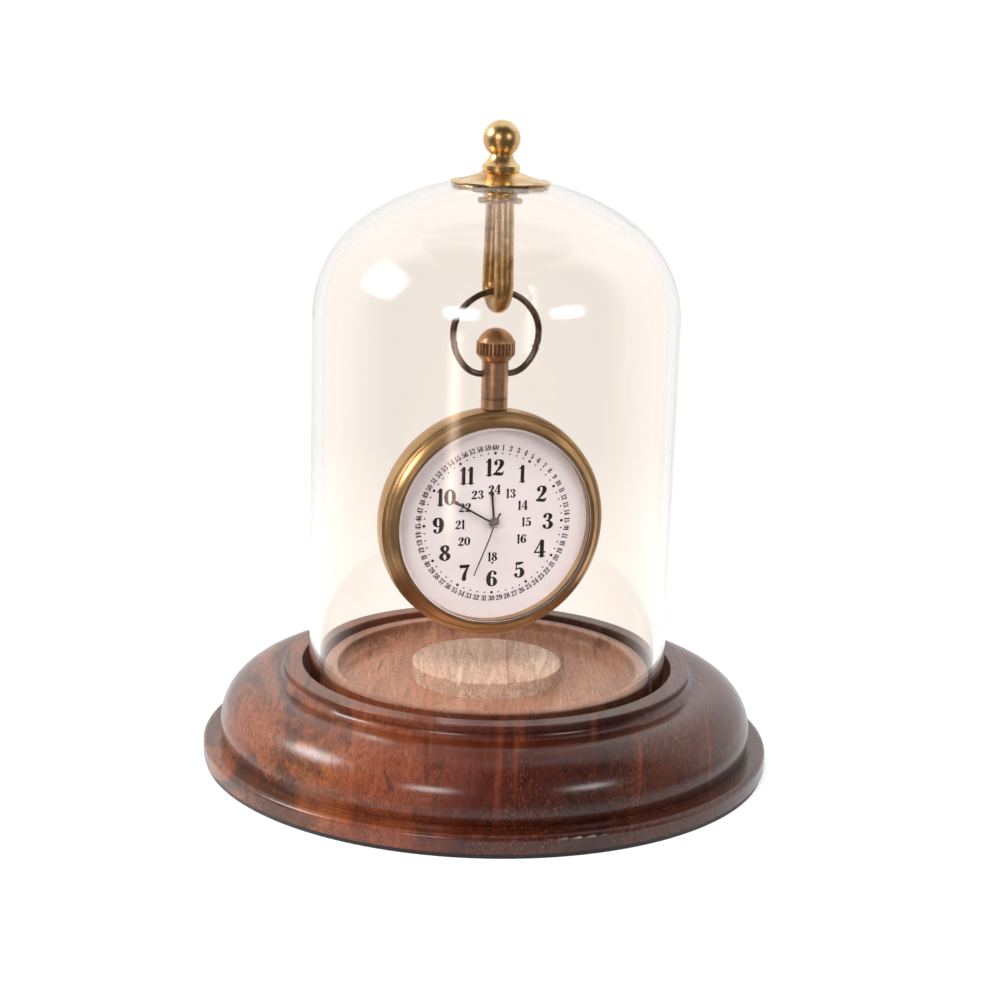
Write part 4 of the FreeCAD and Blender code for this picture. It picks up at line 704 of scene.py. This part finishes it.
# %% Rubber, silicone and felt
def soft_finish(name, light, dark, grain, detail=2.0, lumpy=0.5, dents=0.0, **sockets):
    """Two close tones in grains of this size, which also dent the surface by this depth in millimetres."""
    soft, tree, shader = finish(name, **sockets)
    where = add(tree, "TexCoord", out="Object")
    grains = add(tree, "TexNoise", {"Scale": lumps(grain), "Detail": detail, "Roughness": lumpy}, {"Vector": where})
    tones = add(tree, "ValToRGB", {"stops": ((0.3, dark), (0.7, light))}, {"Fac": grains})
    tree.links.new(tones, shader.inputs["Base Color"])
    if dents:
        dented = add(tree, "Bump", {"Strength": 1.0, "Distance": dents * MM}, {"Height": grains})
        tree.links.new(dented, shader.inputs["Normal"])
    return soft


# Moulded rubber is a dull brown-black, cast silicone a milky skin that light enters, and pressed wool felt
# a black nap that catches a little light at its edge.
give(soft_finish("dark_rubber", "#242020", "#151313", 0.4, dents=0.01, Roughness=0.6),
     "crystal_gasket", "crown_gasket", "upper_washer")
give(soft_finish("milky_silicone", "#e6dccf", "#d9cdbf", 0.8, Roughness=0.4, Transmission_Weight=0.5), "dome_grommet")
give(soft_finish("black_felt", "#221b19", "#0e0b0a", 0.25, 4.0, 0.7, dents=0.1, Roughness=0.95, Sheen_Weight=0.3),
     "felt_pad")

# %% [markdown]
# ## Printed numbers
#
# The numbers were printed on the dial with black ink, in a bold old-style face: a digit is a few strokes of
# a broad pen that swell and thin. Here each stroke is a row of points (x, y, half the pen's width) in units
# of the digit's height, joined by a Catmull-Rom spline and given its width by a ribbon with round ends. The
# hours 1 to 12 stand upright, the afternoon hours are small inside them, and the minutes run round the edge.
# A nine is a six turned half round: each x and y is taken from twice the digit's middle.

# %% Digit strokes
TWICE_MIDDLE = (0.6, 1.0)
NARROW, WIDE = 0.38, 0.6

DIGITS = {
    "0": [[(0.30, 0.97, 0.03), (0.15, 0.80, 0.08), (0.11, 0.50, 0.10), (0.15, 0.20, 0.08), (0.30, 0.03, 0.03),
           (0.45, 0.20, 0.08), (0.49, 0.50, 0.10), (0.45, 0.80, 0.08), (0.30, 0.97, 0.03)]],
    "1": [[(0.31, 0.03, 0.088), (0.31, 0.97, 0.088)], [(0.17, 0.03, 0.03), (0.45, 0.03, 0.03)],
          [(0.15, 0.83, 0.03), (0.22, 0.88, 0.045), (0.31, 0.95, 0.05)]],
    "2": [[(0.15, 0.73, 0.09), (0.15, 0.86, 0.06), (0.28, 0.965, 0.035), (0.43, 0.87, 0.09), (0.45, 0.71, 0.105),
           (0.36, 0.48, 0.08), (0.20, 0.26, 0.045), (0.08, 0.08, 0.035)],
          [(0.08, 0.09, 0.07), (0.28, 0.10, 0.10), (0.45, 0.08, 0.08), (0.54, 0.24, 0.02)]],
    "3": [[(0.14, 0.78, 0.09), (0.17, 0.89, 0.06), (0.28, 0.965, 0.035), (0.42, 0.86, 0.09), (0.42, 0.70, 0.09),
           (0.33, 0.56, 0.045), (0.22, 0.53, 0.03)],
          [(0.22, 0.53, 0.03), (0.39, 0.47, 0.06), (0.47, 0.28, 0.11), (0.40, 0.10, 0.08), (0.26, 0.035, 0.035),
           (0.15, 0.10, 0.06), (0.12, 0.20, 0.09)]],
    "4": [[(0.42, 0.03, 0.10), (0.42, 0.97, 0.10)], [(0.36, 0.97, 0.035), (0.05, 0.29, 0.035)],
          [(0.04, 0.28, 0.045), (0.58, 0.28, 0.045)], [(0.25, 0.03, 0.03), (0.57, 0.03, 0.03)]],
    "5": [[(0.17, 0.90, 0.08), (0.30, 0.90, 0.085), (0.47, 0.95, 0.05)], [(0.16, 0.95, 0.03), (0.13, 0.50, 0.03)],
          [(0.13, 0.51, 0.03), (0.28, 0.60, 0.045), (0.42, 0.50, 0.09), (0.46, 0.29, 0.11), (0.39, 0.10, 0.08),
           (0.25, 0.035, 0.035), (0.15, 0.10, 0.06), (0.12, 0.20, 0.09)]],
    "6": [[(0.46, 0.80, 0.085), (0.44, 0.90, 0.055), (0.32, 0.965, 0.035), (0.19, 0.83, 0.08), (0.13, 0.58, 0.11),
           (0.13, 0.32, 0.11), (0.19, 0.11, 0.08), (0.31, 0.035, 0.035), (0.43, 0.12, 0.08), (0.47, 0.30, 0.105),
           (0.42, 0.49, 0.07), (0.31, 0.57, 0.035), (0.20, 0.48, 0.03)]],
    "7": [[(0.11, 0.88, 0.09), (0.28, 0.87, 0.10), (0.49, 0.91, 0.07)], [(0.09, 0.74, 0.02), (0.09, 0.97, 0.03)],
          [(0.50, 0.93, 0.04), (0.38, 0.64, 0.06), (0.29, 0.34, 0.09), (0.27, 0.08, 0.11)]],
    "8": [[(0.30, 0.965, 0.035), (0.17, 0.87, 0.075), (0.16, 0.72, 0.09), (0.30, 0.55, 0.06), (0.43, 0.70, 0.07),
           (0.42, 0.87, 0.075), (0.30, 0.965, 0.035)],
          [(0.30, 0.55, 0.05), (0.15, 0.40, 0.08), (0.12, 0.22, 0.10), (0.30, 0.035, 0.035), (0.47, 0.20, 0.09),
           (0.45, 0.38, 0.10), (0.30, 0.55, 0.05)]],
}
DIGITS["9"] = [[(TWICE_MIDDLE[0] - x, TWICE_MIDDLE[1] - y, half) for x, y, half in stroke]
               for stroke in DIGITS["6"]]
ADVANCE = {digit: NARROW if digit == "1" else WIDE for digit in DIGITS}
print("digits drawn:", " ".join(sorted(DIGITS)))

# %% [markdown]
# ## From strokes to ink
#
# A Catmull-Rom spline passes through its points p0 p1 p2 p3 as (2 p1 + (p2 - p0) u + (2 p0 - 5 p1 + 4 p2 - p3)
# u^2 + (3 p1 - p0 - 3 p2 + p3) u^3) / 2. The ribbon's edges are the curve plus and minus its normal times the
# pen's half width. The ink lies a fiftieth of a millimetre above the paint, flat in the dial's plane.

# %% Shapes of ink
STEPS = 6
ROUND = 14


def ink_disc(x, y, radius):
    """A round spot: points at the radius times the cosine and sine of evenly spaced angles, in one face."""
    turns = np.linspace(0, 2 * np.pi, ROUND, endpoint=False)
    return np.stack([x + radius * np.cos(turns), y + radius * np.sin(turns)], 1), [list(range(ROUND))]


def ribbon(stroke):
    """Points and faces of a stroke: a Catmull-Rom spline through (x, y, half width) with edges at its normals."""
    p = np.array(stroke, float)
    p = np.vstack([2 * p[0] - p[1], p, 2 * p[-1] - p[-2]])
    u = np.linspace(0, 1, STEPS + 1)[:-1, None]
    a, b, c, d = (p[None, i:len(p) - 3 + i, :].transpose(1, 0, 2) for i in range(4))
    curve = (2 * b + (c - a) * u + (2 * a - 5 * b + 4 * c - d) * u ** 2 + (3 * b - a - 3 * c + d) * u ** 3) / 2
    curve = np.vstack([curve.reshape(-1, 3), p[-2]])
    along = np.gradient(curve[:, :2], axis=0)
    normal = np.stack([-along[:, 1], along[:, 0]], 1) / np.linalg.norm(along, axis=1, keepdims=True)
    edge = normal * curve[:, 2:3]
    points = np.vstack([curve[:, :2] - edge, curve[:, :2] + edge])
    n = len(curve)
    row = np.arange(n - 1)
    return points, np.stack([row, row + 1, row + n + 1, row + n], 1)


sample = ribbon(DIGITS["2"][0])
print("a stroke has", len(sample[0]), "points and", len(sample[1]), "faces")

# %% Printing on the dial
INK_HEIGHT = 0.02
DIGIT_MIDDLE = np.array([0.3, 0.5])

ink_points, ink_faces = [], []
dial_depth = depth_on_dial("dial") + INK_HEIGHT * MM


def print_shape(flat, faces, centre, size, turn=0.0):
    """Adds points of a flat shape, scaled, turned clockwise about its own origin and put on the dial."""
    spin = np.array([[math.cos(turn), -math.sin(turn)], [math.sin(turn), math.cos(turn)]])
    right, up = ((flat * size) @ spin + np.array(centre)).T * MM
    first = sum(len(points) for points in ink_points)
    ink_points.append(hub + np.outer(right, dial_right) + np.outer(up, dial_up) + out_of_dial * dial_depth)
    ink_faces.extend((np.asarray(faces) + first).tolist())


def print_number(number, centre, height, face, turn=0.0):
    """Prints a number about its centre. The face is how much the digits are widened, and the pen's weight."""
    widened, weight = face
    digits = str(number)
    start = -sum(ADVANCE[digit] for digit in digits) / 2
    for digit in digits:
        shift = np.array([start + ADVANCE[digit] / 2, 0]) - DIGIT_MIDDLE
        for stroke in DIGITS[digit]:
            thick = [(x, y, half * weight) for x, y, half in stroke]
            for points, faces in [ribbon(thick)] + [ink_disc(*end) for end in (thick[0], thick[-1])]:
                print_shape((points + shift) * (widened, 1.0), faces, centre, height, turn)
        start += ADVANCE[digit]


def on_dial(minutes, radius):
    """Place on the dial, right and up from the hub, at this many minutes past twelve."""
    turn = minutes * math.pi / 30
    return radius * math.sin(turn), radius * math.cos(turn)


print("ink lies", round(dial_depth / MM, 3), "mm out of the hub's plane")

# %% [markdown]
# ## What is printed
#
# The radii and heights were measured in the photograph. The rings of minutes read from outside on the upper
# half and from inside on the lower half, so their numbers are turned with the ring and flipped below.

# %% Numbers and dots
HOUR_RING, HOUR_HEIGHT, HOUR_FACE = 12.05, 3.5, (1.22, 1.05)
SMALL_RING, SMALL_HEIGHT, SMALL_FACE = 7.3, 1.9, (1.2, 1.05)
MINUTE_RING, MINUTE_HEIGHT, MINUTE_FACE = 16.35, 1.15, (1.0, 1.15)
DOT_RING, DOT, BIG_DOT = 15.1, 0.18, 0.32
LOW_DOT_PLACE, LOW_DOT = (0.0, -8.6), 0.25
NOT_PRINTED = (17, 19)
FLIPPED = range(16, 45)

for hour in range(1, 13):
    print_number(hour, on_dial(hour * 5, HOUR_RING), HOUR_HEIGHT, HOUR_FACE)
    if hour + 12 not in NOT_PRINTED:
        print_number(hour + 12, on_dial(hour * 5, SMALL_RING), SMALL_HEIGHT, SMALL_FACE)
for minute in range(1, 61):
    turn = minute * math.pi / 30 + (math.pi if minute in FLIPPED else 0)
    print_number(minute, on_dial(minute, MINUTE_RING), MINUTE_HEIGHT, MINUTE_FACE, turn)
    print_shape(*ink_disc(0, 0, 1), on_dial(minute, DOT_RING), DOT if minute % 5 else BIG_DOT)
print_shape(*ink_disc(0, 0, 1), LOW_DOT_PLACE, LOW_DOT)
print("shapes printed:", len(ink_points))

# %% The printed piece and its ink
ink_mesh = bpy.data.meshes.new("dial_print")
ink_mesh.from_pydata(np.concatenate(ink_points).tolist(), [], ink_faces)
dial_print = bpy.data.objects.new("dial_print", ink_mesh)
bpy.context.scene.collection.objects.link(dial_print)

# Pad-printed ink: a matt, cool black in a thin film, a shade lighter where the film is thinner.
ink, tree, shader = finish("black_ink", Roughness=0.6, Specular_IOR_Level=0.08)
where = add(tree, "TexCoord", out="Object")
film = add(tree, "TexNoise", {"Scale": lumps(0.4), "Detail": 2.0}, {"Vector": where})
tones = add(tree, "ValToRGB", {"stops": ((0.3, "#100f12"), (0.7, "#1b1a1e"))}, {"Fac": film})
tree.links.new(tones, shader.inputs["Base Color"])
ink_mesh.materials.append(ink)
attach(dial_print, "watch")
print("ink faces:", len(ink_faces))
